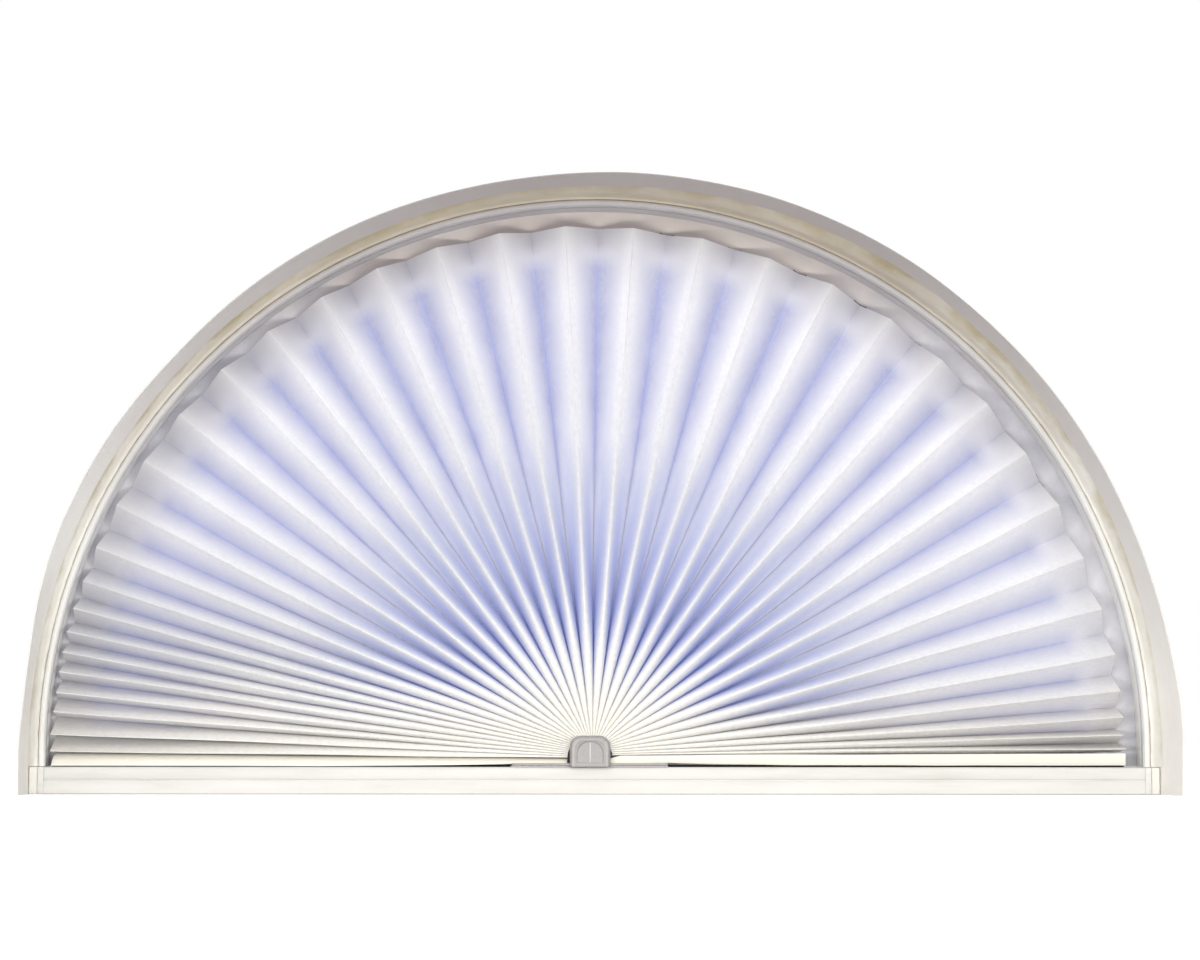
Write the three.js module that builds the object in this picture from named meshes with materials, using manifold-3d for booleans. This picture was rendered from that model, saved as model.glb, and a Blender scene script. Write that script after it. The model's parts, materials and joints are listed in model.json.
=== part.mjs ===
// Pleated paper fan shade in a half-round window opening, in millimetres.
// +Z is up, the room side faces -Y, and the origin is at the middle of the base.
// The shade folds like a hand fan: its right end swings up and over to the left.
import * as THREE from 'three';
import { mergeVertices } from 'three/addons/utils/BufferGeometryUtils.js';
import Module from 'manifold-3d';

const wasm = await Module();
wasm.setup();

// Opening and its frame
const gap = 0.3; // play between two pieces that meet
const openingRadius = 462.5; // inner face of the jamb
const springHeight = 35.8; // centre of the half circle above the base
const frameDepth = 100;
const frontY = -frameDepth / 2;
const backY = frameDepth / 2;
const casingRadius = 484; // outer face of the casing
const casingWall = 8.7;
const casingLip = 3.4; // width of the rounded front edge
const casingShoulderY = -3; // the splayed inner face ends here
const jambFrontY = 2.5;
const beadWidth = 5.2; // rounded bead on the jamb's front edge
const beadStraight = 0.8; // depth of its straight sides
const sashFrontY = 37.5;
const sashInnerRadius = 426;
const sashChamfer = 3.5;
const sillHeight = 23;
const sillFrontY = -5;
const archSteps = 60; // facets round the half circle

// Bottom rail of the sash, foam seals and screws
const railTop = 54;
const railFrontY = 43.3;
const railPlay = 0.8; // free space at each end of the rail
const sealHeight = 1;
const sealDepth = [6, 36];
const sealPlay = 1.5; // free space between the seals and the hub's base plate
const screwShankRadius = 1.6;
const screwHeadRadius = 3.2;
const screwHeadHeight = 2.4;
const screwLength = 46;
const screwRecess = 0.8; // the heads sit this far inside the sill's underside
const screwPlaces = [
  { name: 'jamb_screw', x: 468.7, y: 20, into: 'jamb' },
  { name: 'sash_screw', x: 450, y: 44, into: 'sash' },
];

// Pleated paper
const pleatCount = 36;
const panelWidth = 38; // from a front fold to the next back fold
const paperThickness = 0.4;
const shadeRadius = 452;
const pivot = { x: -5.5, z: 30.3 };
const pleatMidY = 18; // half way between the front and back folds
const hubRadius = 19; // inner ends of the pleats
const pleatSections = 6; // cross-sections from hub to rim, closer together near the hub
const rimSpan = [0.52, 179.4]; // degrees from the left end, along the rim
const hubSpan = [1, 173]; // the same along the inner ends

// Spacing of the folds along the rim, in degrees: crowded at the left, open over the top,
// and crowded again where the last pleats close up at the right
const crowdedStep = 1.9;
const openGrowth = 4.7;
const openFrom = { pleat: 8.4, ease: 1.2 };
const closeDrop = 6;
const closeFrom = { pleat: 31.3, ease: 1.3 };
const widestGrowth = 0.85;
const widestAt = { pleat: 20.8, spread: 3.7 };

// End strips and surplus folds
const stripLift = 1.6; // free height between the sill and the strips at the rim
const stripRise = 2.5; // the strips climb this much towards the hub
const endStripThickness = 0.8;
const endStripTop = { rim: 34, hub: 28.8 };
const endStripY = [1.5, 36];
const leadingThickness = 1;
const leadingHeight = { rim: 10, hub: 5 };
const leadingY = [0, 37];
const leadingStart = 1.4; // distance of the strip's inner end from the pivot
const eyeRadius = 3.65;
const eyeY = [2, 35.5];
const surplusLayers = 6;
const surplusStart = 60;
const surplusThickness = 0.35;
const surplusClear = 0.35; // free space between the folds and the strip round them

// Hub clip
const pinRadius = 2;
const domeWidth = 34;
const domeTop = 49.3;
const domeCorner = 9.5;
const coverThickness = 5;
const coverChamfer = 1.6;
const frontCoverY = -9;
const backCoverY = 38.5;
const backCoverThickness = 4;
const windowRadius = 11; // recessed D on the face of the front cover
const windowDepth = 1.4;
const windowFoot = 26.6;
const windowLeg = 7; // height of the D's straight sides
const plateWidth = 131;
const plateThickness = 2;
const plateY = [-3.7, 42.8];
const padThickness = 0.8;
const padBackY = 38;

// Colours and finishes
const finish = (color, roughness, metalness = 0) =>
  new THREE.MeshStandardMaterial({ color, roughness, metalness });
const plaster = finish(0xe6e1da, 0.8);
const sealant = finish(0xd9cfb8, 0.6);
const whiteVinyl = finish(0xf1f1ef, 0.4);
const paper = finish(0xfaf9f6, 0.9);
const stripPaper = finish(0xf7f3e6, 0.85);
const clearPlastic = finish(0xb4adb8, 0.25);
const foam = finish(0x141312, 0.95);
const tape = finish(0xd8d4dc, 0.5);
const steel = finish(0xb9bbbd, 0.35, 1);

const shade = new THREE.Group();

function addPiece(name, geometry, material) {
  const piece = new THREE.Mesh(geometry, material);
  piece.name = name;
  shade.add(piece);
  return piece;
}

const lerp = (a, b, share) => a + (b - a) * share;
const logistic = (value) => 1 / (1 + Math.exp(-value));

// Closed solids

function signedVolume(points, triangles) {
  let volume = 0;
  for (const [a, b, c] of triangles) {
    volume += points[a].dot(new THREE.Vector3().crossVectors(points[b], points[c])) / 6;
  }
  return volume;
}

function facesOutward(points, triangles) {
  if (signedVolume(points, triangles) < 0) {
    triangles.forEach((triangle) => triangle.reverse());
  }
  const positions = points.flatMap((p) => [p.x, p.y, p.z]);
  const geometry = new THREE.BufferGeometry();
  geometry.setAttribute('position', new THREE.Float32BufferAttribute(positions, 3));
  geometry.setIndex(triangles.flat());
  return geometry;
}

// A solid through rings of points; every ring has the corners of outline, in the same order
function loft(rings, outline) {
  const corners = outline.length;
  const points = rings.flat();
  const triangles = [];
  for (let ring = 0; ring < rings.length - 1; ring++) {
    for (let corner = 0; corner < corners; corner++) {
      const a = ring * corners + corner;
      const b = ring * corners + ((corner + 1) % corners);
      triangles.push([a, b, b + corners], [a, b + corners, a + corners]);
    }
  }
  const flat = outline.map(([u, v]) => new THREE.Vector2(u, v));
  const cap = THREE.ShapeUtils.triangulateShape(flat, []);
  const counterClockwise = THREE.ShapeUtils.area(flat) > 0;
  const last = (rings.length - 1) * corners;
  for (const [a, b, c] of cap) {
    const turned = counterClockwise ? [a, b, c] : [a, c, b];
    const sideTurned = counterClockwise ? [c, b, a] : [b, c, a];
    triangles.push(sideTurned);
    triangles.push(turned.map((index) => index + last));
  }
  return facesOutward(points, triangles);
}

// A thin solid between two like grids of points, given as rows. Both sides are cut along the same
// diagonals, which start at the middle column, so that the sheet keeps its thickness where it twists.
function sheetSolid(nearRows, farRows) {
  const columns = nearRows[0].length;
  const lastRow = nearRows.length - 1;
  const lastColumn = columns - 1;
  const points = [...nearRows.flat(), ...farRows.flat()];
  const farSide = points.length / 2;
  const near = (row, column) => row * columns + column;
  const triangles = [];
  for (let row = 0; row < lastRow; row++) {
    for (let column = 0; column < lastColumn; column++) {
      const a = near(row, column);
      const b = near(row, column + 1);
      const c = near(row + 1, column + 1);
      const d = near(row + 1, column);
      const startsAtLeft = column >= lastColumn / 2;
      triangles.push(...(startsAtLeft ? [[a, b, c], [a, c, d]] : [[a, b, d], [b, c, d]]));
    }
  }
  triangles.push(...triangles.map((corners) => corners.map((index) => index + farSide).reverse()));
  const border = [];
  for (let column = 0; column < lastColumn; column++) {
    border.push([near(0, column), near(0, column + 1)]);
    border.push([near(lastRow, column + 1), near(lastRow, column)]);
  }
  for (let row = 0; row < lastRow; row++) {
    border.push([near(row, lastColumn), near(row + 1, lastColumn)]);
    border.push([near(row + 1, 0), near(row, 0)]);
  }
  for (const [from, to] of border) {
    triangles.push([to, from, from + farSide], [to, from + farSide, to + farSide]);
  }
  return facesOutward(points, triangles);
}

function toSolid(geometry) {
  const bare = new THREE.BufferGeometry();
  bare.setAttribute('position', geometry.getAttribute('position'));
  if (geometry.index) bare.setIndex(geometry.index);
  const merged = mergeVertices(bare, 1e-4);
  return new wasm.Manifold(
    new wasm.Mesh({
      numProp: 3,
      vertProperties: new Float32Array(merged.getAttribute('position').array),
      triVerts: new Uint32Array(merged.index.array),
    }),
  );
}

function toGeometry(solid) {
  const mesh = solid.getMesh();
  const geometry = new THREE.BufferGeometry();
  geometry.setAttribute('position', new THREE.BufferAttribute(mesh.vertProperties, 3));
  geometry.setIndex(new THREE.BufferAttribute(mesh.triVerts, 1));
  return geometry;
}

function cut(geometry, tools) {
  let solid = toSolid(geometry);
  for (const tool of tools) {
    solid = solid.subtract(toSolid(tool));
  }
  return toGeometry(solid);
}

function join(first, second) {
  return toGeometry(toSolid(first).add(toSolid(second)));
}

function boxBetween(low, high) {
  const size = high.map((value, axis) => value - low[axis]);
  const middle = high.map((value, axis) => (value + low[axis]) / 2);
  return new THREE.BoxGeometry(...size).translate(...middle);
}

function cylinderAlongZ(x, y, low, high, radius) {
  const cylinder = new THREE.CylinderGeometry(radius, radius, high - low, 16);
  return cylinder.rotateX(Math.PI / 2).translate(x, y, (low + high) / 2);
}

function cylinderAlongY(x, z, low, high, radius) {
  const cylinder = new THREE.CylinderGeometry(radius, radius, high - low, 24);
  return cylinder.translate(x, (low + high) / 2, z);
}

// Sweeps an outline of [radius, y] corners up the left leg, over the arch and down the right leg
function archSolid(outline, footZ) {
  const rings = [outline.map(([radius, y]) => new THREE.Vector3(-radius, y, footZ))];
  for (let step = 0; step <= archSteps; step++) {
    const angle = Math.PI * (1 - step / archSteps);
    rings.push(
      outline.map(
        ([radius, y]) =>
          new THREE.Vector3(radius * Math.cos(angle), y, springHeight + radius * Math.sin(angle)),
      ),
    );
  }
  rings.push(outline.map(([radius, y]) => new THREE.Vector3(radius, y, footZ)));
  return loft(rings, outline);
}

// Half of a rounded nose as [radius, y] corners, bulging towards -Y
function nose(fromRadius, toRadius, y, rise, steps) {
  const corners = [];
  for (let step = 0; step <= steps; step++) {
    const turn = (Math.PI * step) / steps;
    const middle = (fromRadius + toRadius) / 2;
    corners.push([middle - ((toRadius - fromRadius) / 2) * Math.cos(turn), y - rise * Math.sin(turn)]);
  }
  return corners;
}

// Frame

const casingInner = casingRadius - casingWall;
const jambOuter = casingInner - gap;
const frameFootZ = sillHeight + gap;

function casing() {
  const lipInner = casingRadius - casingLip;
  const outline = [
    [casingRadius, backY],
    ...nose(lipInner, casingRadius, frontY + casingLip / 2, casingLip / 2, 6).reverse(),
    [casingInner, casingShoulderY],
    [casingInner, backY],
  ];
  return archSolid(outline, 0);
}

function frontBead() {
  const baseY = jambFrontY - gap;
  const inner = openingRadius + gap;
  const outer = inner + beadWidth;
  const front = nose(inner, outer, baseY - beadStraight, beadWidth / 2, 6);
  return archSolid([[outer, baseY], [inner, baseY], ...front], frameFootZ);
}

function sealantBead() {
  const baseY = jambFrontY - gap;
  const inner = openingRadius + beadWidth + 3 * gap;
  const outline = [
    [jambOuter, baseY],
    [inner, baseY],
    [inner + 0.3, baseY - 1],
    [inner + 2.8, baseY - 3.6],
    [jambOuter, baseY - 6.6],
  ];
  return archSolid(outline, frameFootZ);
}

function jamb() {
  const outline = [
    [openingRadius, jambFrontY],
    [jambOuter, jambFrontY],
    [jambOuter, sashFrontY - gap],
    [openingRadius, sashFrontY - gap],
  ];
  return archSolid(outline, frameFootZ);
}

function sashRing() {
  const outline = [
    [sashInnerRadius + sashChamfer, sashFrontY],
    [jambOuter, sashFrontY],
    [jambOuter, backY],
    [sashInnerRadius, backY],
    [sashInnerRadius, sashFrontY + sashChamfer],
  ];
  return archSolid(outline, frameFootZ);
}

// The sill's front carries a flat lower band, a groove and a rounded upper band
function sill() {
  const outline = [
    [backY, 0],
    [sillFrontY, 0],
    [sillFrontY, 11.2],
    [sillFrontY + 1.2, 12.2],
    [sillFrontY + 0.6, 13.4],
    [sillFrontY + 0.6, 19.5],
    [sillFrontY + 1.6, 21.8],
    [sillFrontY + 3.8, sillHeight],
    [backY, sillHeight],
  ];
  const ends = [-jambOuter, jambOuter];
  return loft(ends.map((x) => outline.map(([y, z]) => new THREE.Vector3(x, y, z))), outline);
}

function screwAt(x, y) {
  const headTop = screwRecess + screwHeadHeight;
  const head = cylinderAlongZ(x, y, screwRecess, headTop, screwHeadRadius);
  return join(head, cylinderAlongZ(x, y, headTop - 0.5, screwLength, screwShankRadius));
}

function screwHole(x, y) {
  const counterboreTop = screwRecess + screwHeadHeight + gap;
  const counterbore = cylinderAlongZ(x, y, -1, counterboreTop, screwHeadRadius + gap);
  return join(counterbore, cylinderAlongZ(x, y, 0, screwLength + gap, screwShankRadius + gap));
}

function addFrame() {
  const sides = [
    { name: 'left', sign: -1 },
    { name: 'right', sign: 1 },
  ];
  const holes = { jamb: [], sash: [], sill: [] };
  for (const place of screwPlaces) {
    for (const side of sides) {
      const x = side.sign * place.x;
      holes[place.into].push(screwHole(x, place.y));
      holes.sill.push(screwHole(x, place.y));
      addPiece(`${place.name}_${side.name}`, screwAt(x, place.y), steel);
    }
  }
  addPiece('casing_arch', casing(), plaster);
  addPiece('sealant_bead', sealantBead(), sealant);
  addPiece('front_bead', frontBead(), whiteVinyl);
  addPiece('jamb_arch', cut(jamb(), holes.jamb), whiteVinyl);
  addPiece('sash_ring', cut(sashRing(), holes.sash), whiteVinyl);
  addPiece('sill_board', cut(sill(), holes.sill), whiteVinyl);
  const railHalf = sashInnerRadius - railPlay;
  const rail = boxBetween([-railHalf, railFrontY, frameFootZ], [railHalf, backY, railTop]);
  addPiece('sash_bottom_rail', rail, whiteVinyl);
}

function addSeals() {
  const [nearY, farY] = sealDepth;
  const sealTop = frameFootZ + sealHeight;
  const plateEdge = plateWidth / 2 + sealPlay;
  const spans = {
    sill_seal_left: [pivot.x - shadeRadius, pivot.x - plateEdge],
    sill_seal_right: [pivot.x + plateEdge, pivot.x + shadeRadius],
  };
  for (const [name, [from, to]] of Object.entries(spans)) {
    addPiece(name, boxBetween([from, nearY, frameFootZ], [to, farY, sealTop]), foam);
  }
}

// Hub clip

function domeShape(footZ) {
  const half = domeWidth / 2;
  const shape = new THREE.Shape();
  shape.moveTo(-half, footZ);
  shape.lineTo(half, footZ);
  shape.lineTo(half, domeTop - domeCorner);
  shape.absarc(half - domeCorner, domeTop - domeCorner, domeCorner, 0, Math.PI / 2, false);
  shape.absarc(domeCorner - half, domeTop - domeCorner, domeCorner, Math.PI / 2, Math.PI, false);
  shape.lineTo(-half, footZ);
  return shape;
}

// Stands a shape drawn in X and Z upright, from backFaceY towards -Y by depth
function standUp(shape, backFaceY, depth, chamfer) {
  const settings = {
    depth: depth - 2 * chamfer,
    bevelEnabled: chamfer > 0,
    bevelThickness: chamfer,
    bevelSize: chamfer,
    bevelOffset: -chamfer,
    bevelSegments: 1,
    curveSegments: 8,
  };
  const geometry = new THREE.ExtrudeGeometry(shape, settings);
  return geometry.rotateX(Math.PI / 2).translate(pivot.x, backFaceY - chamfer, 0);
}

function frontCover() {
  const backFaceY = frontCoverY + coverThickness;
  const cover = standUp(domeShape(frameFootZ), backFaceY, coverThickness, coverChamfer);
  const windowShape = new THREE.Shape();
  const archZ = windowFoot + windowLeg;
  windowShape.moveTo(-windowRadius, windowFoot);
  windowShape.lineTo(windowRadius, windowFoot);
  windowShape.lineTo(windowRadius, archZ);
  windowShape.absarc(0, archZ, windowRadius, 0, Math.PI, false);
  windowShape.lineTo(-windowRadius, windowFoot);
  const recess = standUp(windowShape, frontCoverY + windowDepth, windowDepth + 2, 0);
  return cut(cover, [recess]);
}

function addHub() {
  const plateLow = frameFootZ + padThickness + gap;
  const plateHalf = plateWidth / 2;
  const padBox = [
    [pivot.x - plateHalf, 0, frameFootZ],
    [pivot.x + plateHalf, padBackY, frameFootZ + padThickness],
  ];
  const plateBox = [
    [pivot.x - plateHalf, plateY[0], plateLow],
    [pivot.x + plateHalf, plateY[1], plateLow + plateThickness],
  ];
  const backFoot = plateLow + plateThickness + gap;
  const backCover = standUp(domeShape(backFoot), backCoverY + backCoverThickness, backCoverThickness, 0);
  addPiece('hub_adhesive_pad', boxBetween(...padBox), tape);
  addPiece('hub_base_plate', boxBetween(...plateBox), clearPlastic);
  addPiece('hub_front_cover', frontCover(), clearPlastic);
  addPiece('hub_back_cover', backCover, clearPlastic);
  const pinFrom = frontCoverY + coverThickness + gap;
  addPiece('hub_pivot_pin', cylinderAlongY(pivot.x, pivot.z, pinFrom, backCoverY - gap, pinRadius), steel);
}

// Pleats

// A point at so many degrees from the left end and a distance from the pivot
function fanPoint(degrees, distance) {
  const angle = Math.PI - THREE.MathUtils.degToRad(degrees);
  return new THREE.Vector3(pivot.x + distance * Math.cos(angle), 0, pivot.z + distance * Math.sin(angle));
}

function foldStep(pleat) {
  const opened = openGrowth * logistic((pleat - openFrom.pleat) / openFrom.ease);
  const closed = closeDrop * logistic((pleat - closeFrom.pleat) / closeFrom.ease);
  const widest = widestGrowth * Math.exp(-(((pleat - widestAt.pleat) / widestAt.spread) ** 2));
  return crowdedStep + opened - closed + widest;
}

// Degrees of the back folds along the rim, from the left end strip to the leading strip
function rimFolds() {
  const running = [0];
  for (let pleat = 0; pleat < pleatCount; pleat++) {
    running.push(running[pleat] + foldStep(pleat - 0.5));
  }
  const total = running[pleatCount];
  return running.map((value) => lerp(rimSpan[0], rimSpan[1], value / total));
}

const backFolds = rimFolds();

function foldLine(rimDegrees, hubShare) {
  const inner = fanPoint(lerp(hubSpan[0], hubSpan[1], hubShare), hubRadius);
  const outer = fanPoint(rimDegrees, shadeRadius);
  return (share) => new THREE.Vector3().lerpVectors(inner, outer, share);
}

// One pleat is a bent sheet: a back fold, the front fold and the next back fold
function pleatSolid(pleat) {
  const left = foldLine(backFolds[pleat], pleat / pleatCount);
  const front = foldLine((backFolds[pleat] + backFolds[pleat + 1]) / 2, (pleat + 0.5) / pleatCount);
  const right = foldLine(backFolds[pleat + 1], (pleat + 1) / pleatCount);
  const nearRows = [];
  const farRows = [];
  for (let section = 0; section < pleatSections; section++) {
    const share = (section / (pleatSections - 1)) ** 2;
    const leftPoint = left(share);
    const rightPoint = right(share);
    const across = new THREE.Vector3().subVectors(rightPoint, leftPoint);
    const half = across.length() / 2;
    across.normalize();
    const depth = Math.sqrt(panelWidth ** 2 - half ** 2);
    const inset = (paperThickness * panelWidth) / depth;
    const notch = (paperThickness * panelWidth) / (half - gap / 2);
    const frontFoldY = pleatMidY - depth / 2;
    const backFoldY = pleatMidY + depth / 2;
    const at = (point, along, y) => point.clone().addScaledVector(across, along).setY(y);
    nearRows.push([
      at(leftPoint, gap / 2, backFoldY),
      at(front(share), 0, frontFoldY),
      at(rightPoint, -gap / 2, backFoldY),
    ]);
    farRows.push([
      at(leftPoint, gap / 2 + inset, backFoldY),
      at(front(share), 0, frontFoldY + notch),
      at(rightPoint, -gap / 2 - inset, backFoldY),
    ]);
  }
  return sheetSolid(nearRows, farRows);
}

function addPleats() {
  for (let pleat = 0; pleat < pleatCount; pleat++) {
    const number = String(pleat + 1).padStart(2, '0');
    addPiece(`pleat_${number}`, pleatSolid(pleat), paper);
  }
}

// End strips

// Height of the underside of an end strip at a distance from the pivot
function stripFoot(distance) {
  return sillHeight + stripLift + stripRise * (1 - distance / shadeRadius);
}

// Lofts outlines of [y, z] corners between two distances to the side given by sign
function stripSolid(outlineAt, from, to, sign) {
  const ring = (distance) =>
    outlineAt(distance).map(([y, z]) => new THREE.Vector3(pivot.x + sign * distance, y, z));
  return loft([ring(from), ring(to)], outlineAt(to));
}

// The last panel at the left slopes down from its back fold to the edge stuck above the sill
function leftEndStrip() {
  const upperRows = [];
  const lowerRows = [];
  for (const [distance, top] of [[hubRadius, endStripTop.hub], [shadeRadius, endStripTop.rim]]) {
    const x = pivot.x - distance;
    const edge = new THREE.Vector3(x, endStripY[0], stripFoot(distance) + endStripThickness);
    const fold = new THREE.Vector3(x, endStripY[1], top);
    const lower = (point) => point.clone().setZ(point.z - endStripThickness);
    upperRows.push([edge, fold]);
    lowerRows.push([lower(edge), lower(fold)]);
  }
  return sheetSolid(upperRows, lowerRows);
}

function leadingTop(distance) {
  return stripFoot(distance) + lerp(leadingHeight.hub, leadingHeight.rim, distance / shadeRadius);
}

// The leading strip is an angle that holds the surplus folds and turns on the pin with its eye
function leadingStrip() {
  const [nearY, farY] = leadingY;
  const outlineAt = (distance) => {
    const foot = stripFoot(distance);
    return [
      [nearY, foot],
      [farY, foot],
      [farY, foot + leadingThickness],
      [nearY + leadingThickness, foot + leadingThickness],
      [nearY + leadingThickness, leadingTop(distance)],
      [nearY, leadingTop(distance)],
    ];
  };
  const strip = stripSolid(outlineAt, leadingStart, shadeRadius, 1);
  const eye = cylinderAlongY(pivot.x, pivot.z, eyeY[0], eyeY[1], eyeRadius);
  const hole = cylinderAlongY(pivot.x, pivot.z, nearY - 1, farY + 1, pinRadius + gap);
  return cut(join(strip, eye), [hole]);
}

// Outline of a ribbon of even thickness along a line with square corners
function ribbonOutline(line, thickness) {
  const side = (sign) =>
    line.map(([y, z], index) => {
      const before = line[index - 1];
      const after = line[index + 1];
      let offsetY = 0;
      let offsetZ = 0;
      for (const [from, to] of [[before, [y, z]], [[y, z], after]]) {
        if (!from || !to) continue;
        offsetY -= Math.sign(to[1] - from[1]);
        offsetZ += Math.sign(to[0] - from[0]);
      }
      return [y + (sign * offsetY * thickness) / 2, z + (sign * offsetZ * thickness) / 2];
    });
  return [...side(1), ...side(-1).reverse()];
}

// Surplus paper that the opening doesn't need stays folded flat inside the leading strip
function surplusFolds() {
  const nearY = leadingY[0] + leadingThickness + surplusClear + surplusThickness / 2;
  const farY = leadingY[1] - surplusThickness / 2;
  const outlineAt = (distance) => {
    const low = stripFoot(distance) + leadingThickness + surplusClear + surplusThickness / 2;
    const high = leadingTop(distance) - surplusThickness / 2;
    const line = [];
    for (let layer = 0; layer < surplusLayers; layer++) {
      const z = lerp(low, high, layer / (surplusLayers - 1));
      const ends = layer % 2 ? [farY, nearY] : [nearY, farY];
      line.push([ends[0], z], [ends[1], z]);
    }
    return ribbonOutline(line, surplusThickness);
  };
  return stripSolid(outlineAt, surplusStart, shadeRadius, 1);
}

function addStrips() {
  addPiece('left_end_strip', leftEndStrip(), stripPaper);
  addPiece('leading_strip', leadingStrip(), stripPaper);
  addPiece('surplus_folds', surplusFolds(), paper);
}

addFrame();
addSeals();
addHub();
addPleats();
addStrips();

export default shade;
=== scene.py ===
"""Arch pleated shade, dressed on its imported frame.

Sizes are in millimetres: add_mesh turns them into metres. Angles along the fan are in degrees from its left
end. Light and camera values are in metres.
"""

import json
import math

import bpy
import bmesh
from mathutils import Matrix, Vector, noise

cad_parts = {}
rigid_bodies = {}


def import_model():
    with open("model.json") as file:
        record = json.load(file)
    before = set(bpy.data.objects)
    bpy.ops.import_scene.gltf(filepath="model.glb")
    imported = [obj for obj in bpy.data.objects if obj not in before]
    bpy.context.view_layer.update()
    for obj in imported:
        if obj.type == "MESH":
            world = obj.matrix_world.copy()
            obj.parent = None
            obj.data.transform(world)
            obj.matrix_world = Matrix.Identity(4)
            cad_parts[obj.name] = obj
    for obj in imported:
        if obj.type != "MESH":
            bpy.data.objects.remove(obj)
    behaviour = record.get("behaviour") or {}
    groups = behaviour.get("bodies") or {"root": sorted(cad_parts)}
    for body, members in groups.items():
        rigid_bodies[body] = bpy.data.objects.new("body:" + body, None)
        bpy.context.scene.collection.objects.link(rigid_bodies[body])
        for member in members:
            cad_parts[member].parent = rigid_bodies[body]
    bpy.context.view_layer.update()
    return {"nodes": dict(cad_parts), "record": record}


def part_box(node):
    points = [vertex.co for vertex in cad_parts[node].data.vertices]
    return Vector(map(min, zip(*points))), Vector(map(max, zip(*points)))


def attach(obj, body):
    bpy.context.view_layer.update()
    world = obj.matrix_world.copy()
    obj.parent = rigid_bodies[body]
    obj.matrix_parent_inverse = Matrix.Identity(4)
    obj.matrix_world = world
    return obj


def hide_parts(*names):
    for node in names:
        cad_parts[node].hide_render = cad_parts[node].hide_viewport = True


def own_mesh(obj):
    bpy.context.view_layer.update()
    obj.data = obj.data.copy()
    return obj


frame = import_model()

MM = 0.001

# What the frame gives
PLEAT_COUNT = sum(1 for name in frame["nodes"] if name.startswith("pleat_"))
FAN_JOINT = next(j for j in frame["record"]["behaviour"]["joints"] if j["name"] == "fan_fold")
PIVOT = [value / MM for value in FAN_JOINT["pos_m"]]

# Sizes of the solids that the frame's boxes don't give
OPENING_RADIUS = 462.5
CASING_SHOULDER_Y = -3.0  # the casing's splayed inner face ends here
BEAD_WIDTH = 5.2
BEAD_STRAIGHT = 0.8  # depth of the bead's straight sides
SASH_CHAMFER = 3.5
GAP = 0.3  # between pieces that fit together
PANEL_WIDTH = 38.0
DOME_CORNER = 9.5  # shoulders of the hub clip's cheeks

# Opening and its frame. An uneven spot is an angle, a width in degrees and a shift.
CASING_LIP = 0.8
CASING_EDGE = (
    (6.0, 11.0, -7.0),
    (42.0, 9.0, -2.0),
    (80.0, 8.0, -1.5),
    (118.0, 24.0, 2.6),
    (178.0, 8.0, 3.2),
)
SPLAY_STEPS = 10
SEALANT_CLIMB = 6.0  # up the casing, and further at the upper right
SEALANT_SMEAR = (118.0, 36.0, 19.0)
SEALANT_SINK = 0.5
SEALANT_STEPS = 9
SOFT_EDGE = 0.8  # small chamfers of the jamb and the sash
SILL_ROUND = 3.2
SILL_STEPS = 8  # of its rounding
# (depth behind the sill's front, height) of its two bands and the groove between them, from below
SILL_PROFILE = (
    (0.8, 0.0),
    (0.0, 0.8),
    (0.0, 10.4),
    (0.5, 11.2),
    (1.5, 11.7),
    (1.5, 12.2),
    (0.8, 12.9),
    (0.6, 13.6),
)
FOOT_DEPTH = 0.7
FOOT_AGE = 0.4  # the corner feet's place between the sealant's inner and outer edge
ARCH_STEPS = 240
LEG_STEPS = 4
STATIONS = 90  # along the sill and the leading strip

# Pleats
CREASE_ROUNDING = 0.022
# A narrow fold is U-shaped. Each pair is a strength and the half width at which it has fallen to 37%. The
# first rounds only the folds beside the hub, and the second reaches further out.
FOLD_BULGES = ((48.0, 4.0), (7.0, 9.0))
BULGE_FADE = 1.4  # how fast the rounding fades from the hub to the rim
PLEAT_ROWS = 44
PANEL_SHARES = (0.0, 0.008, 0.02, 0.04, 0.07, 0.12, 0.2, 0.35, 0.55, 0.78, 0.93, 1.0)
FOLD_WAVE = 0.9
PANEL_BOW = 1.3
RIM_UNEVEN = 1.1
NOSE_RADII = (0.05, 0.5)  # at the hub and at the rim
NOSE_SIDES = 6
LEFT_SAG = (0.77, 0.81, 0.45, 0.3, 0.1)  # degrees that the lowest front folds at the left hang down

# End strips, which lift off the sill where they reach the hub's base plate
STRIP_CLEARANCE = 0.7  # between the sill and the strips' front edges
PLATE_LIFT = 2.0
PLATE_HALF = 66.0
PLATE_FADE = 60.0
STRIP_ROWS = 60
LEFT_COLUMNS = 18
LEFT_TOP = (30.4, 34.2)  # at the hub and at the rim
END_SLANT = 5.0
CARD_THICKNESS = 1.0
CARD_START = 1.4  # from the pivot
CARD_LIFT = 0.4  # more clearance under the leading strip
CARD_FOOT = 1.3  # foot of the leading strip's wall at the rim, above the frame's foot
CARD_RISE = 2.5  # it lies this much higher at the hub
CARD_WALL = (5.6, 10.2)  # height of the wall at the hub and at the rim
EYE_RADII = (2.3, 3.65)
EYE_SPAN = (2.0, 35.5)  # from front to back
EYE_SIDES = 32
SURPLUS_LAYERS = 6
SURPLUS_STEPS = 5  # across each layer
SURPLUS_LIFT = 1.7  # from the strip's foot to the lowest layer
SURPLUS_CLEAR = 0.4
SURPLUS_FINISH = {"reach": 0.6, "fold": 0.5}  # it looks like the middle of a pleat
PLEATS_CLEARANCE = 0.4  # between the pleats' lowest edge and what lies under it
WALL_FORWARD = 2.6  # the leading strip's wall passes in front of the pleats
WALL_FORWARD_SPAN = (18.0, 24.0)
STRIP_BULGE = (16.0, 5.0)  # the left strip stands up at its front edge, more so near the hub, then lies back

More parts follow.
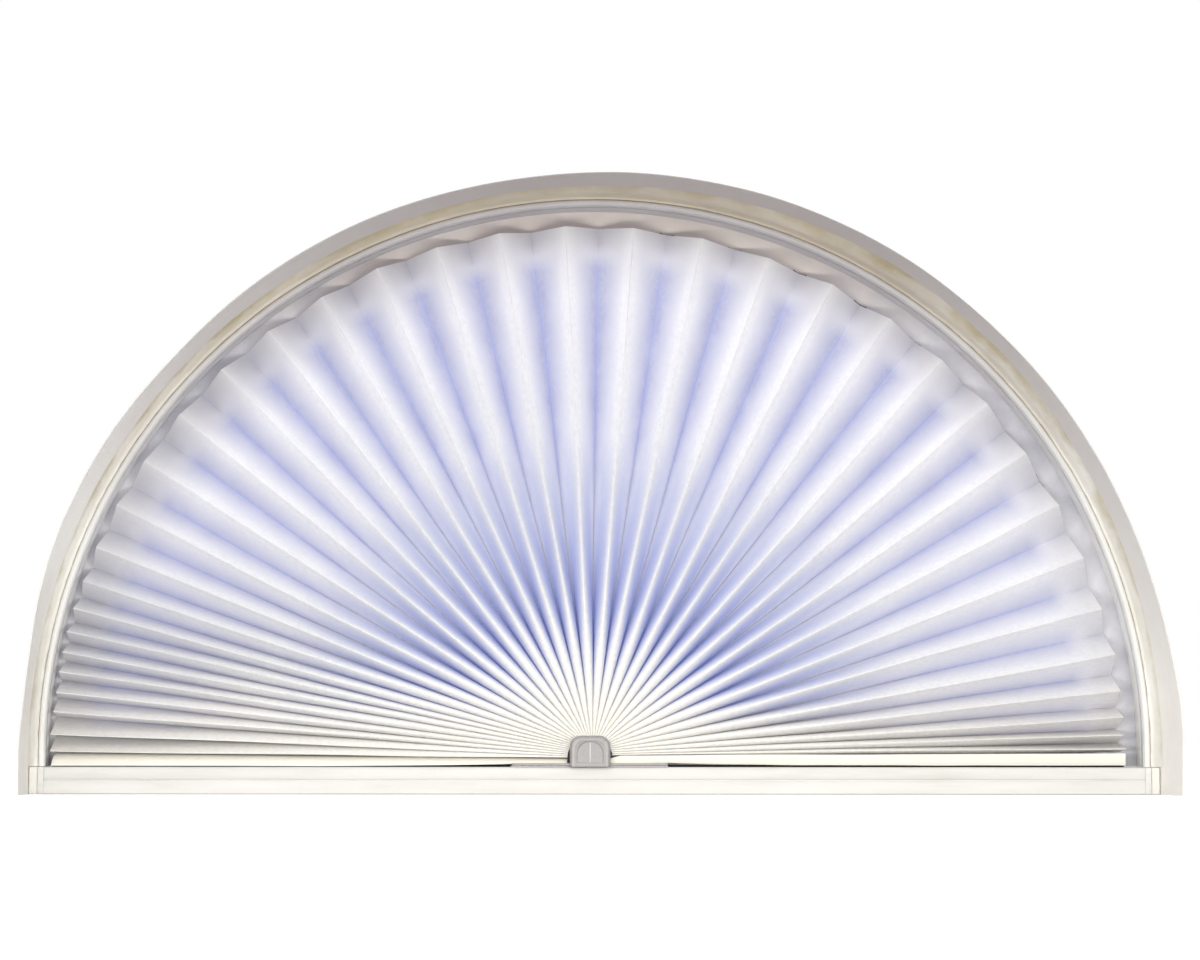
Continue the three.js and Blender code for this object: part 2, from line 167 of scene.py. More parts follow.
# Ambient light by direction, with the share of depth over which the light from the sides fades
AMBIENT_SIDES = 1.15
AMBIENT_SIDE_SPAN = (0.1, 0.35)
AMBIENT_FRONT = 0.17
AMBIENT_BACK = 0.1

# Thread near the hub, and dark wire clips at the rim of the valleys at the upper right, which stand in for
# shadow gaps there
THREAD_RADIUS = 0.45
THREAD_DISTANCE = 61.0
THREAD_SETBACK = 9.0
THREAD_SAG = 0.8  # towards the window
THREAD_STEPS = 6
CLIP_SPAN = (97.0, 151.0)
CLIP_LENGTH = 12.5
CLIP_RADIUS = 0.65
CLIP_OUT = 1.6  # the clip's ends lie this far outside the rim
CLIP_BEND = 1.2  # its middle lies this much nearer the hub
CLIP_GAP = 0.3  # between the clip and the sash
CLIP_STEPS = 8

# Hub clip: the arched window in its front cover, and the rib in it
WINDOW_RADIUS = 11.0
WINDOW_TOP = 44.6
WINDOW_FOOT = 26.6
RIB_FOOT = 26.8
RIB_TOP = 43.4

# Camera: its place is in metres and its turn in radians. Floor under the part.
CAMERA_PLACE = (-0.0785, -3.1321, 0.0579)
CAMERA_TURN = (math.pi / 2 + 0.066, -0.001, -0.026)
CAMERA_LENS = 111.4
CAMERA_SENSOR = 36.0
FLOOR_REACH = 6000.0
FLOOR_DROP = 0.4


def lerp(first, second, share):
    return first + (second - first) * share


def node_box(name):
    """Lowest and highest corners of a CAD node, in millimetres"""
    low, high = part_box(name)
    return [value / MM for value in low], [value / MM for value in high]


def ripple(along, seed, wavelength):
    """Smooth unevenness between about -1 and 1"""
    return 1.6 * noise.noise(Vector((along / wavelength, seed * 7.31 + 0.5, seed * 3.77)))


def feed(links, socket, value):
    """Links another node's output to a socket, or sets the socket to a plain value"""
    if isinstance(value, bpy.types.NodeSocket):
        links.new(value, socket)
    else:
        socket.default_value = value


def maths(nodes, links, operation, *inputs):
    made = nodes.new("ShaderNodeMath")
    made.operation = operation
    for socket, value in zip(made.inputs, inputs):
        feed(links, socket, value)
    return made.outputs["Value"]


# Meshes

def mark(piece, label, values):
    """Gives each point of a piece a number that its finish reads by its label"""
    layer = piece.data.attributes.new(label, "FLOAT", "POINT")
    layer.data.foreach_set("value", values)


def grid_faces(rows, columns):
    """Faces between neighbouring points of a grid with this many points each way"""
    faces = []
    for row in range(rows - 1):
        for column in range(columns - 1):
            first = row * columns + column
            faces.append((first, first + 1, first + columns + 1, first + columns))
    return faces


def place_piece(name, mesh, material, crease_degrees):
    """Adds a mesh to the scene, smooth but for its sharper edges"""
    mesh.materials.append(material)
    mesh.shade_smooth()
    mesh.set_sharp_from_angle(angle=math.radians(crease_degrees))
    piece = bpy.data.objects.new(name, mesh)
    bpy.context.scene.collection.objects.link(piece)
    return piece


def add_mesh(name, points, faces, material, crease_degrees=40.0, attributes=None):
    mesh = bpy.data.meshes.new(name)
    mesh.from_pydata([[value * MM for value in point] for point in points], [], faces)
    piece = place_piece(name, mesh, material, crease_degrees)
    for label, values in (attributes or {}).items():
        mark(piece, label, values)
    return piece


def face_outward(piece):
    work = bmesh.new()
    work.from_mesh(piece.data)
    bmesh.ops.recalc_face_normals(work, faces=work.faces)
    work.to_mesh(piece.data)
    work.free()


def add_loft(name, rings, material, capped=True, crease_degrees=40.0, corner_values=None):
    """A surface through closed rings of points, capped at both ends when it is a solid"""
    corners = len(rings[0])
    points = [point for ring in rings for point in ring]
    faces = []
    for ring in range(len(rings) - 1):
        for corner in range(corners):
            following = (corner + 1) % corners
            low = ring * corners
            high = low + corners
            faces.append((low + corner, low + following, high + following, high + corner))
    if capped:
        faces.append(tuple(range(corners)))
        faces.append(tuple(range(len(points) - corners, len(points))))
    attributes = {label: list(values) * len(rings) for label, values in (corner_values or {}).items()}
    piece = add_mesh(name, points, faces, material, crease_degrees, attributes)
    if capped:
        face_outward(piece)
        piece.data.set_sharp_from_angle(angle=math.radians(crease_degrees))
    return piece


def add_bevelled_box(name, low, high, bevel, material):
    work = bmesh.new()
    bmesh.ops.create_cube(work, size=1.0)
    for vertex in work.verts:
        vertex.co = [lerp(low[i], high[i], vertex.co[i] + 0.5) * MM for i in range(3)]
    edges = list(work.edges)
    bmesh.ops.bevel(work, geom=edges, offset=bevel * MM, segments=3, profile=0.5, affect="EDGES")
    mesh = bpy.data.meshes.new(name)
    work.to_mesh(mesh)
    work.free()
    return place_piece(name, mesh, material, 50)


def add_tube(name, path, radii, material, sides=8):
    """A round tube along points that run roughly in the X-Z plane, with a radius for each point"""
    rings = []
    for index, point in enumerate(path):
        before = Vector(path[max(index - 1, 0)])
        after = Vector(path[min(index + 1, len(path) - 1)])
        along = (after - before).normalized()
        side = along.cross(Vector((0, 1, 0))).normalized()
        depth = along.cross(side)
        ring = []
        for corner in range(sides):
            turn = 2 * math.pi * corner / sides
            ring.append(Vector(point) + radii[index] * (side * math.cos(turn) + depth * math.sin(turn)))
        rings.append(ring)
    return add_loft(name, rings, material, crease_degrees=60)


def dress(piece, body, slot, *nodes):
    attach(piece, body)
    if nodes:
        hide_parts(*nodes)
    return piece


# Finishes

class Finish:
    """A material with short calls for the nodes that the finishes share"""

    def __init__(self, name, roughness=0.6, specular=0.4):
        self.material = bpy.data.materials.new(name)
        self.material.use_nodes = True
        self.nodes = self.material.node_tree.nodes
        self.links = self.material.node_tree.links
        self.surface = self.nodes["Principled BSDF"]
        self.output = self.nodes["Material Output"]
        self.place = self.nodes.new("ShaderNodeTexCoord").outputs["Object"]
        self.set("Roughness", roughness)
        self.set("Specular IOR Level", specular)

    def set(self, socket, value):
        feed(self.links, self.surface.inputs[socket], value)
        return self

    def node(self, kind, inputs, **settings):
        made = self.nodes.new(kind)
        for label, value in settings.items():
            setattr(made, label, value)
        for label, value in inputs.items():
            feed(self.links, made.inputs[label], value)
        return made

    def stretched(self, scale):
        inputs = {"Vector": self.place, "Scale": scale}
        return self.node("ShaderNodeMapping", inputs).outputs["Vector"]

    def noise(self, scale, detail=3.0, roughness=0.55, vector=None):
        inputs = {"Vector": vector or self.place, "Scale": scale, "Detail": detail, "Roughness": roughness}
        return self.node("ShaderNodeTexNoise", inputs).outputs["Fac"]

    def coordinate(self, axis):
        """Place along one axis of the frame, in metres"""
        return self.node("ShaderNodeSeparateXYZ", {"Vector": self.place}).outputs[axis]

    def height(self):
        return self.coordinate("Z")

    def attribute(self, label):
        return self.node("ShaderNodeAttribute", {}, attribute_name=label).outputs["Fac"]

    def ramp(self, value, stops):
        made = self.node("ShaderNodeValToRGB", {"Fac": value})
        elements = made.color_ramp.elements
        while len(elements) < len(stops):
            elements.new(0.5)
        for element, (position, color) in zip(elements, stops):
            element.position = position
            element.color = (*color, 1.0)
        return made.outputs["Color"]

    def levels(self, value, stops):
        """A ramp of plain strengths instead of colours"""
        return self.ramp(value, [(position, (level,) * 3) for position, level in stops])

    def mix(self, share, first, second):
        made = self.nodes.new("ShaderNodeMix")
        made.data_type = "RGBA"
        feed(self.links, made.inputs[0], share)
        sides = [socket for socket in made.inputs if socket.type == "RGBA"]
        for socket, value in zip(sides, (first, second)):
            feed(self.links, socket, (*value, 1.0) if isinstance(value, tuple) else value)
        return next(socket for socket in made.outputs if socket.type == "RGBA")

    def spread(self, value, low, high, to_low=0.0, to_high=1.0):
        inputs = {"Value": value, "From Min": low, "From Max": high, "To Min": to_low, "To Max": to_high}
        return self.node("ShaderNodeMapRange", inputs).outputs["Result"]

    def multiply(self, first, second):
        return maths(self.nodes, self.links, "MULTIPLY", first, second)

    def add(self, first, second):
        return maths(self.nodes, self.links, "ADD", first, second)

    def size_of(self, value):
        return maths(self.nodes, self.links, "ABSOLUTE", value)

    def bump(self, height, distance, strength=1.0):
        inputs = {"Height": height, "Distance": distance, "Strength": strength}
        return self.set("Normal", self.node("ShaderNodeBump", inputs).outputs["Normal"])


def paper_white(paper, reach, fold, high_up):
    """Painted warm light makes it cream beside the hub, it is white further out, and painted shade darkens
    the upper rim
    """
    outwards = paper.ramp(reach, [
        (0.0, (1.0, 0.96, 0.84)),
        (0.14, (0.99, 0.97, 0.91)),
        (0.35, (0.97, 0.97, 0.96)),
        (1.0, (0.93, 0.93, 0.94)),
    ])
    # Painted warm light: close to the sill the paper is as creamy as at the hub
    unshaded = paper.mix(paper.spread(paper.height(), 0.03, 0.11, 0.9, 0.0), outwards, (1.0, 0.97, 0.90))
    # Painted shade at the upper rim, stronger towards the valleys
    rim_shade = paper.ramp(reach, [
        (0.86, (0.86, 0.85, 0.89)),
        (0.95, (0.62, 0.61, 0.65)),
        (1.0, (0.63, 0.615, 0.635)),
    ])
    near_rim = paper.multiply(paper.spread(reach, 0.5, 0.9), paper.spread(fold, 0.0, 0.35, 0.55, 1.0))
    return paper.mix(paper.multiply(near_rim, high_up), unshaded, rim_shade)


def paper_zone(paper, reach):
    """Where the painted daylight blue and valley shade may show: less at the hub, the rim and the sill"""
    zone = paper.levels(reach, [(0.02, 0.0), (0.08, 0.75), (0.4, 0.85), (0.7, 1.0), (0.92, 1.0), (0.95, 0.2)])
    return paper.multiply(zone, paper.spread(paper.height(), 0.045, 0.09, 0.35, 1.0))


def paper_depth(paper, fold, outer, high_up):
    """How much painted valley shade and daylight blue a spot gets by its place between the front fold and the
    back folds, and more of it higher up, where less light falls
    """
    # Near the hub only a fold's front shows, so its painted valley shade starts early and ends before the
    # back fold
    walls = paper.levels(fold, [(0.015, 0.0), (0.15, 1.0), (0.5, 1.0), (0.8, 0.15)])
    depth = paper.mix(outer, walls, paper.spread(fold, 0.2, 0.9))
    return paper.multiply(depth, paper.spread(high_up, 0.0, 1.0, 0.6, 1.15))


def paper_tint(paper, reach, depth, zone, white):
    """Painted daylight and shade: blue over the white in the valleys, in soft clouds"""
    clouds = paper.noise(34.0, detail=4.0, roughness=0.65)
    cloudy = paper.multiply(depth, paper.spread(clouds, 0.3, 0.7, 0.6, 1.0))
    blue = paper.ramp(reach, [
        (0.15, (0.44, 0.52, 0.98)),
        (0.5, (0.46, 0.48, 0.68)),
        (1.0, (0.40, 0.41, 0.56)),
    ])
    return paper.mix(paper.multiply(cloudy, zone), white, blue)


def paper_lines(paper, reach, fold, outer, tinted):
    """Painted shade as darker lines in the valleys, wider near the hub, and a painted highlight along each
    ridge
    """
    valley_shade_colour = paper.mix(paper.spread(paper.height(), 0.05, 0.08), (0.58, 0.54, 0.36), (0.36, 0.43, 0.78))
    near_hub = paper.levels(fold, [(0.06, 0.0), (0.3, 0.8), (0.5, 0.8), (0.8, 0.05)])
    line = paper.mix(outer, near_hub, paper.spread(fold, 0.88, 1.0, 0.0, 0.5))
    before_rim = paper.spread(reach, 0.90, 0.94, 1.0, 0.15)
    lined = paper.mix(paper.multiply(line, before_rim), tinted, valley_shade_colour)
    ridge_highlight = paper.spread(fold, 0.0, 0.06, 0.25, 0.0)
    return paper.mix(ridge_highlight, lined, (0.99, 0.99, 0.98))


def paper_finish():
    """White pleat paper with soft fibres, with painted daylight blue and painted shade in its valleys"""
    paper = Finish("pleat_paper", roughness=0.9, specular=0.15)
    reach = paper.attribute("reach")
    fold = paper.attribute("fold")
    fibres = paper.noise(230.0, detail=3.0, roughness=0.8)
    high_up = paper.spread(paper.height(), 0.08, 0.4)
    outer = paper.spread(reach, 0.25, 0.6)
    zone = paper_zone(paper, reach)
    depth = paper_depth(paper, fold, outer, high_up)
    tinted = paper_tint(paper, reach, depth, zone, paper_white(paper, reach, fold, high_up))
    grained = paper.mix(paper.spread(fibres, 0.4, 0.65, 0.0, 0.4), tinted, (0.68, 0.68, 0.77))
    paper.set("Base Color", paper_lines(paper, reach, fold, outer, grained))
    paper.bump(fibres, 0.0006, 0.35)
    # The light through the paper is painted bluer in the valleys too
    painted_through_colour = paper.mix(paper.multiply(depth, zone), (0.88, 0.87, 0.88), (0.52, 0.53, 0.70))
    through = paper.node("ShaderNodeBsdfTranslucent", {"Color": painted_through_colour})
    share = paper.levels(reach, [(0.0, 0.15), (0.25, 0.25), (0.6, 0.34), (1.0, 0.42)])
    amount = paper.multiply(share, paper.spread(fibres, 0.3, 0.75, 1.1, 0.75))
    joined = paper.node("ShaderNodeMixShader", {"Fac": amount})
    paper.links.new(paper.surface.outputs["BSDF"], joined.inputs[1])
    paper.links.new(through.outputs["BSDF"], joined.inputs[2])
    paper.links.new(joined.outputs["Shader"], paper.output.inputs["Surface"])
    return paper.material


def strip_finish():
    card = Finish("strip_paper", roughness=0.8, specular=0.2)
    fibres = card.noise(220.0, detail=6.0, roughness=0.7)
    streaks = card.noise(30.0, vector=card.stretched((1.0, 6.0, 14.0)))
    streaked = card.mix(card.spread(streaks, 0.35, 0.7, 0.0, 0.5), (0.84, 0.815, 0.75), (0.79, 0.76, 0.68))
    card.set("Base Color", card.mix(card.spread(fibres, 0.4, 0.8, 0.0, 0.3), streaked, (0.80, 0.78, 0.71)))
    return card.bump(fibres, 0.0005, 0.3).material


def plaster_finish():
    """Painted plaster: brushed paint and faint dents, with painted shade that darkens it towards the top. Its
    cut outside is bare, trowelled plaster.
    """
    plaster = Finish("painted_plaster", roughness=0.72, specular=0.3)
    patches = plaster.noise(9.0, detail=5.0, roughness=0.6)
    grain = plaster.noise(420.0, detail=4.0)
    brushed = plaster.noise(60.0, vector=plaster.stretched((1.0, 5.0, 1.0)))
    tone = plaster.ramp(patches, [
        (0.25, (0.84, 0.81, 0.77)),
        (0.5, (0.91, 0.88, 0.84)),
        (0.75, (0.94, 0.92, 0.88)),
    ])
    worn = plaster.mix(plaster.spread(brushed, 0.4, 0.8, 0.0, 0.35), tone, (0.80, 0.77, 0.74))
    # Painted shade: the paint darkens towards the top, and a little more at the right
    shade = plaster.add(plaster.height(), plaster.multiply(plaster.coordinate("X"), 0.16))
    painted = plaster.mix(plaster.spread(shade, 0.16, 0.5, 0.0, 0.84), worn, (0.385, 0.345, 0.34))
    trowel = plaster.noise(26.0, detail=7.0, roughness=0.7, vector=plaster.stretched((1.0, 0.35, 1.0)))
    pits = plaster.noise(150.0, detail=4.0, roughness=0.7)
    bare = plaster.ramp(trowel, [
        (0.3, (0.62, 0.58, 0.54)),
        (0.5, (0.78, 0.74, 0.69)),
        (0.7, (0.88, 0.85, 0.81)),
    ])
    bare = plaster.mix(plaster.spread(pits, 0.58, 0.7, 0.0, 0.6), bare, (0.48, 0.44, 0.41))
    outside = plaster.spread(plaster.attribute("outside"), 0.35, 0.65)
    plaster.set("Base Color", plaster.mix(outside, painted, bare))
    rough = plaster.multiply(outside, plaster.add(trowel, plaster.multiply(pits, 0.5)))
    relief = plaster.add(plaster.multiply(grain, 0.3), plaster.multiply(rough, 2.0))
    return plaster.bump(relief, 0.0012, 0.6).material


def sealant_finish():
    """Old sealant: cream, greyer high up where shade is painted on, with a tan outer edge and a dark crack at
    its inner edge
    """
    old = Finish("sealant", roughness=0.55, specular=0.4)
    ageing = old.noise(14.0, detail=6.0, roughness=0.65)
    cracks = old.noise(70.0, detail=5.0, vector=old.stretched((1.0, 3.0, 1.0)))
    edge = old.attribute("edge")
    low_cream = old.ramp(ageing, [
        (0.3, (0.70, 0.67, 0.62)),
        (0.55, (0.78, 0.76, 0.72)),
        (0.75, (0.82, 0.80, 0.78)),
    ])
    # Painted shade: the cream is greyer high up
    shaded_cream = old.ramp(ageing, [(0.3, (0.49, 0.43, 0.35)), (0.7, (0.59, 0.53, 0.44))])
    cream = old.mix(old.spread(old.height(), 0.25, 0.46), low_cream, shaded_cream)
    tan = old.ramp(ageing, [
        (0.3, (0.36, 0.30, 0.18)),
        (0.55, (0.48, 0.41, 0.27)),
        (0.8, (0.60, 0.54, 0.42)),
    ])
    drifts = old.noise(22.0, detail=5.0, roughness=0.6)
    wandering = old.spread(drifts, 0.3, 0.7, -0.38, 0.3)
    band = old.spread(old.add(edge, wandering), 0.6, 1.0, 0.0, 1.0)
    high_up = old.spread(old.height(), 0.05, 0.4, 0.35, 1.0)
    tone = old.mix(old.multiply(band, high_up), cream, tan)
    crack = old.multiply(old.spread(edge, 0.0, 0.14, 0.75, 0.0), old.spread(cracks, 0.45, 0.6, 0.2, 1.0))
    old.set("Base Color", old.mix(crack, tone, (0.42, 0.37, 0.31)))
    return old.bump(cracks, 0.0012, 0.5).material


def vinyl_finish():
    """White moulded vinyl with dust, and painted shade that makes it greyer high up"""
    vinyl = Finish("white_vinyl", roughness=0.5, specular=0.3)
    dust = vinyl.noise(22.0, detail=6.0, roughness=0.6)
    fine = vinyl.noise(600.0, detail=3.0)
    unshaded = vinyl.ramp(dust, [
        (0.3, (0.72, 0.71, 0.68)),
        (0.55, (0.78, 0.78, 0.77)),
        (0.8, (0.81, 0.81, 0.80)),
    ])
    # Painted shade for high up
    high_shade = vinyl.ramp(dust, [(0.3, (0.38, 0.35, 0.37)), (0.7, (0.47, 0.44, 0.46))])
    vinyl.set("Base Color", vinyl.mix(vinyl.spread(vinyl.height(), 0.2, 0.46, 0.0, 0.8), unshaded, high_shade))
    vinyl.set("Roughness", vinyl.spread(dust, 0.3, 0.8, 0.45, 0.62))
    return vinyl.bump(fine, 0.0002, 0.25).material


def sill_finish():
    """The sill's vinyl is scuffed along its length, slightly warmer where it is darker"""
    vinyl = Finish("sill_vinyl", roughness=0.42, specular=0.4)
    scuffs = vinyl.noise(26.0, detail=6.0, roughness=0.65, vector=vinyl.stretched((0.35, 1.0, 3.0)))
    tone = vinyl.ramp(scuffs, [
        (0.3, (0.62, 0.61, 0.58)),
        (0.5, (0.68, 0.67, 0.65)),
        (0.75, (0.72, 0.715, 0.70)),
    ])
    vinyl.set("Base Color", tone)
    return vinyl.bump(vinyl.noise(600.0), 0.0002, 0.25).material


def sash_finish():
    """The sash's vinyl is painted grey for the shade it stands in behind the paper, pinkish over the top,
    with painted shade in patches where it meets the jamb at both sides
    """
    vinyl = Finish("sash_vinyl", roughness=0.5, specular=0.35)
    dust = vinyl.noise(18.0, detail=6.0, roughness=0.65)
    # Painted shade: the white vinyl is coloured grey
    grey = vinyl.ramp(dust, [
        (0.3, (0.44, 0.44, 0.49)),
        (0.55, (0.58, 0.57, 0.61)),
        (0.8, (0.68, 0.66, 0.68)),
    ])
    pink = vinyl.ramp(dust, [(0.3, (0.50, 0.44, 0.41)), (0.7, (0.58, 0.53, 0.50))])
    tone = vinyl.mix(vinyl.spread(vinyl.height(), 0.38, 0.46), grey, pink)
    sideways = vinyl.size_of(vinyl.coordinate("X"))
    # Painted shade in patches where the sash meets the jamb, weaker in the middle
    shade_patches = vinyl.spread(vinyl.noise(30.0, detail=5.0), 0.35, 0.65, 0.3, 1.0)
    corner = vinyl.multiply(vinyl.spread(vinyl.attribute("edge"), 0.45, 0.85, 0.0, 0.7), shade_patches)
    corner = vinyl.multiply(corner, vinyl.spread(sideways, 0.06, 0.2, 0.15, 1.0))
    vinyl.set("Base Color", vinyl.mix(corner, tone, (0.26, 0.27, 0.32)))
    return vinyl.bump(vinyl.noise(500.0), 0.0003, 0.3).material


def plastic_finish(name, low, high):
    """Milky clear plastic, mauve-grey from what shows through it"""
    plastic = Finish(name, roughness=0.22, specular=0.5)
    haze = plastic.noise(420.0, detail=4.0)
    plastic.set("Base Color", plastic.ramp(haze, [(0.3, low), (0.7, high)]))
    plastic.set("Roughness", plastic.spread(haze, 0.3, 0.7, 0.3, 0.42))
    plastic.set("Transmission Weight", 0.15)
    plastic.set("IOR", 1.49)
    return plastic.bump(haze, 0.0002, 0.12).material


def tape_finish():
    tape = Finish("clear_tape", roughness=0.45)
    bubbles = tape.noise(300.0, detail=5.0)
    tape.set("Base Color", tape.ramp(bubbles, [(0.35, (0.62, 0.60, 0.65)), (0.6, (0.78, 0.76, 0.80))]))
    return tape.bump(bubbles, 0.0003, 0.5).material


def foam_finish():
    foam = Finish("black_foam", roughness=0.95, specular=0.1)
    cells = foam.node("ShaderNodeTexVoronoi", {"Vector": foam.place, "Scale": 900.0}).outputs["Distance"]
    foam.set("Base Color", foam.ramp(cells, [(0.1, (0.004, 0.004, 0.004)), (0.7, (0.02, 0.019, 0.018))]))
    return foam.bump(cells, 0.0005, 0.8).material


def steel_finish(name, low, high, roughness):
    steel = Finish(name, roughness=roughness)
    scratches = steel.noise(500.0, detail=5.0, vector=steel.stretched((1.0, 1.0, 8.0)))
    steel.set("Base Color", steel.ramp(scratches, [(0.3, low), (0.7, high)]))
    steel.set("Metallic", 1.0)
    return steel.bump(scratches, 0.0002, 0.4).material


def thread_finish():
    thread = Finish("thread", roughness=0.7, specular=0.3)
    twist = thread.node("ShaderNodeTexWave", {"Vector": thread.place, "Scale": 900.0}).outputs["Fac"]
    thread.set("Base Color", thread.ramp(twist, [(0.2, (0.86, 0.86, 0.85)), (0.8, (0.97, 0.97, 0.96))]))
    return thread.bump(twist, 0.0003, 0.5).material


PLASTER = plaster_finish()
SEALANT = sealant_finish()
VINYL = vinyl_finish()
SILL_VINYL = sill_finish()
SASH_VINYL = sash_finish()
PAPER = paper_finish()
CARD = strip_finish()
PLASTIC = plastic_finish("clear_plastic", (0.37, 0.345, 0.345), (0.45, 0.42, 0.42))
# A darker copy of the clear plastic: painted shade for the front cover's chamfer
SHADED_CHAMFER_PLASTIC = plastic_finish("shaded_chamfer_plastic", (0.30, 0.28, 0.29), (0.37, 0.35, 0.36))
# A pale copy of the clear plastic: painted highlight for the rib in the hub clip's window
HIGHLIGHT_PLASTIC = plastic_finish("highlight_plastic", (0.78, 0.76, 0.77), (0.86, 0.84, 0.85))
TAPE = tape_finish()
FOAM = foam_finish()
STEEL = steel_finish("screw_steel", (0.42, 0.42, 0.43), (0.62, 0.62, 0.63), 0.35)
# Near-black wire for the rim clips, which stand in for shadow gaps
SHADOW_GAP_WIRE = steel_finish("shadow_gap_wire", (0.03, 0.03, 0.035), (0.08, 0.08, 0.085), 0.5)
THREAD = thread_finish()


# Frame of the opening

CASING_LOW, CASING_HIGH = node_box("casing_arch")
CASING_RADIUS = CASING_HIGH[0]
SPRING_HEIGHT = CASING_HIGH[2] - CASING_RADIUS
FRONT_Y, BACK_Y = CASING_LOW[1], CASING_HIGH[1]
JAMB_LOW, JAMB_HIGH = node_box("jamb_arch")
JAMB_OUTER = JAMB_HIGH[0]
CASING_INNER = JAMB_OUTER + GAP
FRAME_FOOT = JAMB_LOW[2]
BEAD_BACK_Y = JAMB_LOW[1] - GAP
SASH_FRONT_Y = node_box("sash_ring")[0][1]
SASH_INNER = node_box("sash_bottom_rail")[1][0] + SOFT_EDGE
SILL_LOW, SILL_HIGH = node_box("sill_board")


def arch_stations(foot):
    """(angle, height below the spring line) round the arch, legs included"""
    drop = SPRING_HEIGHT - foot
    legs = [drop * (1 - step / LEG_STEPS) for step in range(LEG_STEPS)]
    up = [(0.0, below) for below in legs]
    over = [(180.0 * step / ARCH_STEPS, 0.0) for step in range(ARCH_STEPS + 1)]
    down = [(180.0, below) for below in reversed(legs)]
    return up + over + down


def arch_point(radius, y, angle, below):
    turn = math.radians(180 - angle)
    return (radius * math.cos(turn), y, SPRING_HEIGHT + radius * math.sin(turn) - below)


def swell(angle, middle, width, amount):
    """A smooth bump of the given amount round an angle"""
    return amount * math.exp(-((angle - middle) / width) ** 2)


def add_arch(name, outline, foot, material, uneven=None, crease_degrees=35.0, corner_values=None):
    """Sweeps (radius, y) corners round the arch. uneven shifts each by its number, run and angle."""
    rings = []
    for angle, below in arch_stations(foot):
        run = math.radians(angle) * OPENING_RADIUS + (below if angle > 90 else -below)
        ring = []
        for corner, (radius, y) in enumerate(outline):
            shift_radius, shift_y = uneven(corner, run, angle) if uneven else (0.0, 0.0)
            ring.append(arch_point(radius + shift_radius, y + shift_y, angle, below))
        rings.append(ring)
    return add_loft(name, rings, material, crease_degrees=crease_degrees, corner_values=corner_values)


def rounded_nose(inner, outer, y, rise, steps):
    """Half of a rounded nose that bulges towards the room, from the inner to the outer radius"""
    middle = (inner + outer) / 2
    half = (outer - inner) / 2
    turns = [math.pi * step / steps for step in range(steps + 1)]
    return [(middle - half * math.cos(turn), y - rise * math.sin(turn)) for turn in turns]


def casing_edge(angle):
    """Shift of the casing's outer edge at an angle, which the sealant on it follows"""
    return sum(swell(angle, *entry) for entry in CASING_EDGE)


def build_casing():
    lip_inner = CASING_RADIUS - CASING_LIP
    nose = rounded_nose(lip_inner, CASING_RADIUS, FRONT_Y + CASING_LIP / 2, CASING_LIP / 2, 8)
    start = nose[0]
    end = (CASING_INNER, CASING_SHOULDER_Y)
    splay = []
    for step in range(1, SPLAY_STEPS + 1):
        splay.append(tuple(lerp(start[i], end[i], step / SPLAY_STEPS) for i in range(2)))
    outline = [(CASING_RADIUS, BACK_Y), *reversed(nose), *splay, (CASING_INNER, BACK_Y)]
    first_splay = 1 + len(nose)

    def uneven(corner, run, angle):
        if corner == len(outline) - 1:
            return 0.0, 0.0
        edge = casing_edge(angle)
        lumps = 0.55 * ripple(run, corner * 0.25, 60.0) + 0.2 * ripple(run, corner * 0.4 + 9, 17.0)
        if corner >= first_splay:
            inwards = (corner - first_splay + 1) / SPLAY_STEPS
            return (0.6 * lumps + edge) * (1 - inwards), 0.0
        front = 0.0 if corner == 0 else 0.4 * ripple(run, 5, 40.0)
        return edge + 0.5 * ripple(run, 2, 90.0), front

    outside = [1.0, 1.0] + [0.0] * (len(outline) - 3) + [0.4]
    casing = add_arch("casing", outline, 0.0, PLASTER, uneven, corner_values={"outside": outside})
    dress(casing, "frame", "painted_plaster", "casing_arch")


def build_sealant():
    """A hand-smoothed bead from the frame's front bead up onto the casing, thicker in places"""
    inner = OPENING_RADIUS + BEAD_WIDTH + 2 * GAP
    outer = JAMB_OUTER
    shares = [step / SEALANT_STEPS for step in range(SEALANT_STEPS + 1)]
    rise = []
    for share in shares:
        rise.append((lerp(inner + 0.1, outer, share ** 0.8), BEAD_BACK_Y - 1.2 - 3.0 * share ** 1.6))
    outline = [(outer, BEAD_BACK_Y), (inner, BEAD_BACK_Y), *rise]
    edge = [0.0, 0.0, *shares]

    def uneven(corner, run, angle):
        share = edge[corner]
        climb = SEALANT_CLIMB + swell(angle, *SEALANT_SMEAR)
        climb += 2.2 * ripple(run, 21, 85.0)
        climb += 0.8 * ripple(run, 22, 24.0)
        lump = 0.3 * ripple(run, 30 + corner, 15.0) if corner > 1 else 0.0
        over = max(share - 0.6, 0.0) / 0.4
        # Its outer edge lies on the casing's splay, which opens towards the room, and sinks into it a little
        splay = (CASING_RADIUS - CASING_INNER + casing_edge(angle)) / (CASING_SHOULDER_Y - FRONT_Y)
        return ((climb - 1.0) * splay + SEALANT_SINK) * over, -climb * share ** 2 + lump * (1 - over)

    values = {"edge": edge}
    bead = add_arch("sealant", outline, FRAME_FOOT, SEALANT, uneven, crease_degrees=60, corner_values=values)
    dress(bead, "frame", "sealant", "sealant_bead")


def build_front_bead():
    inner = OPENING_RADIUS + GAP
    outer = inner + BEAD_WIDTH
    nose = rounded_nose(inner, outer, BEAD_BACK_Y - BEAD_STRAIGHT, BEAD_WIDTH / 2, 12)
    bead = add_arch("bead", [(outer, BEAD_BACK_Y), (inner, BEAD_BACK_Y), *nose], FRAME_FOOT, VINYL)
    dress(bead, "frame", "white_vinyl", "front_bead")


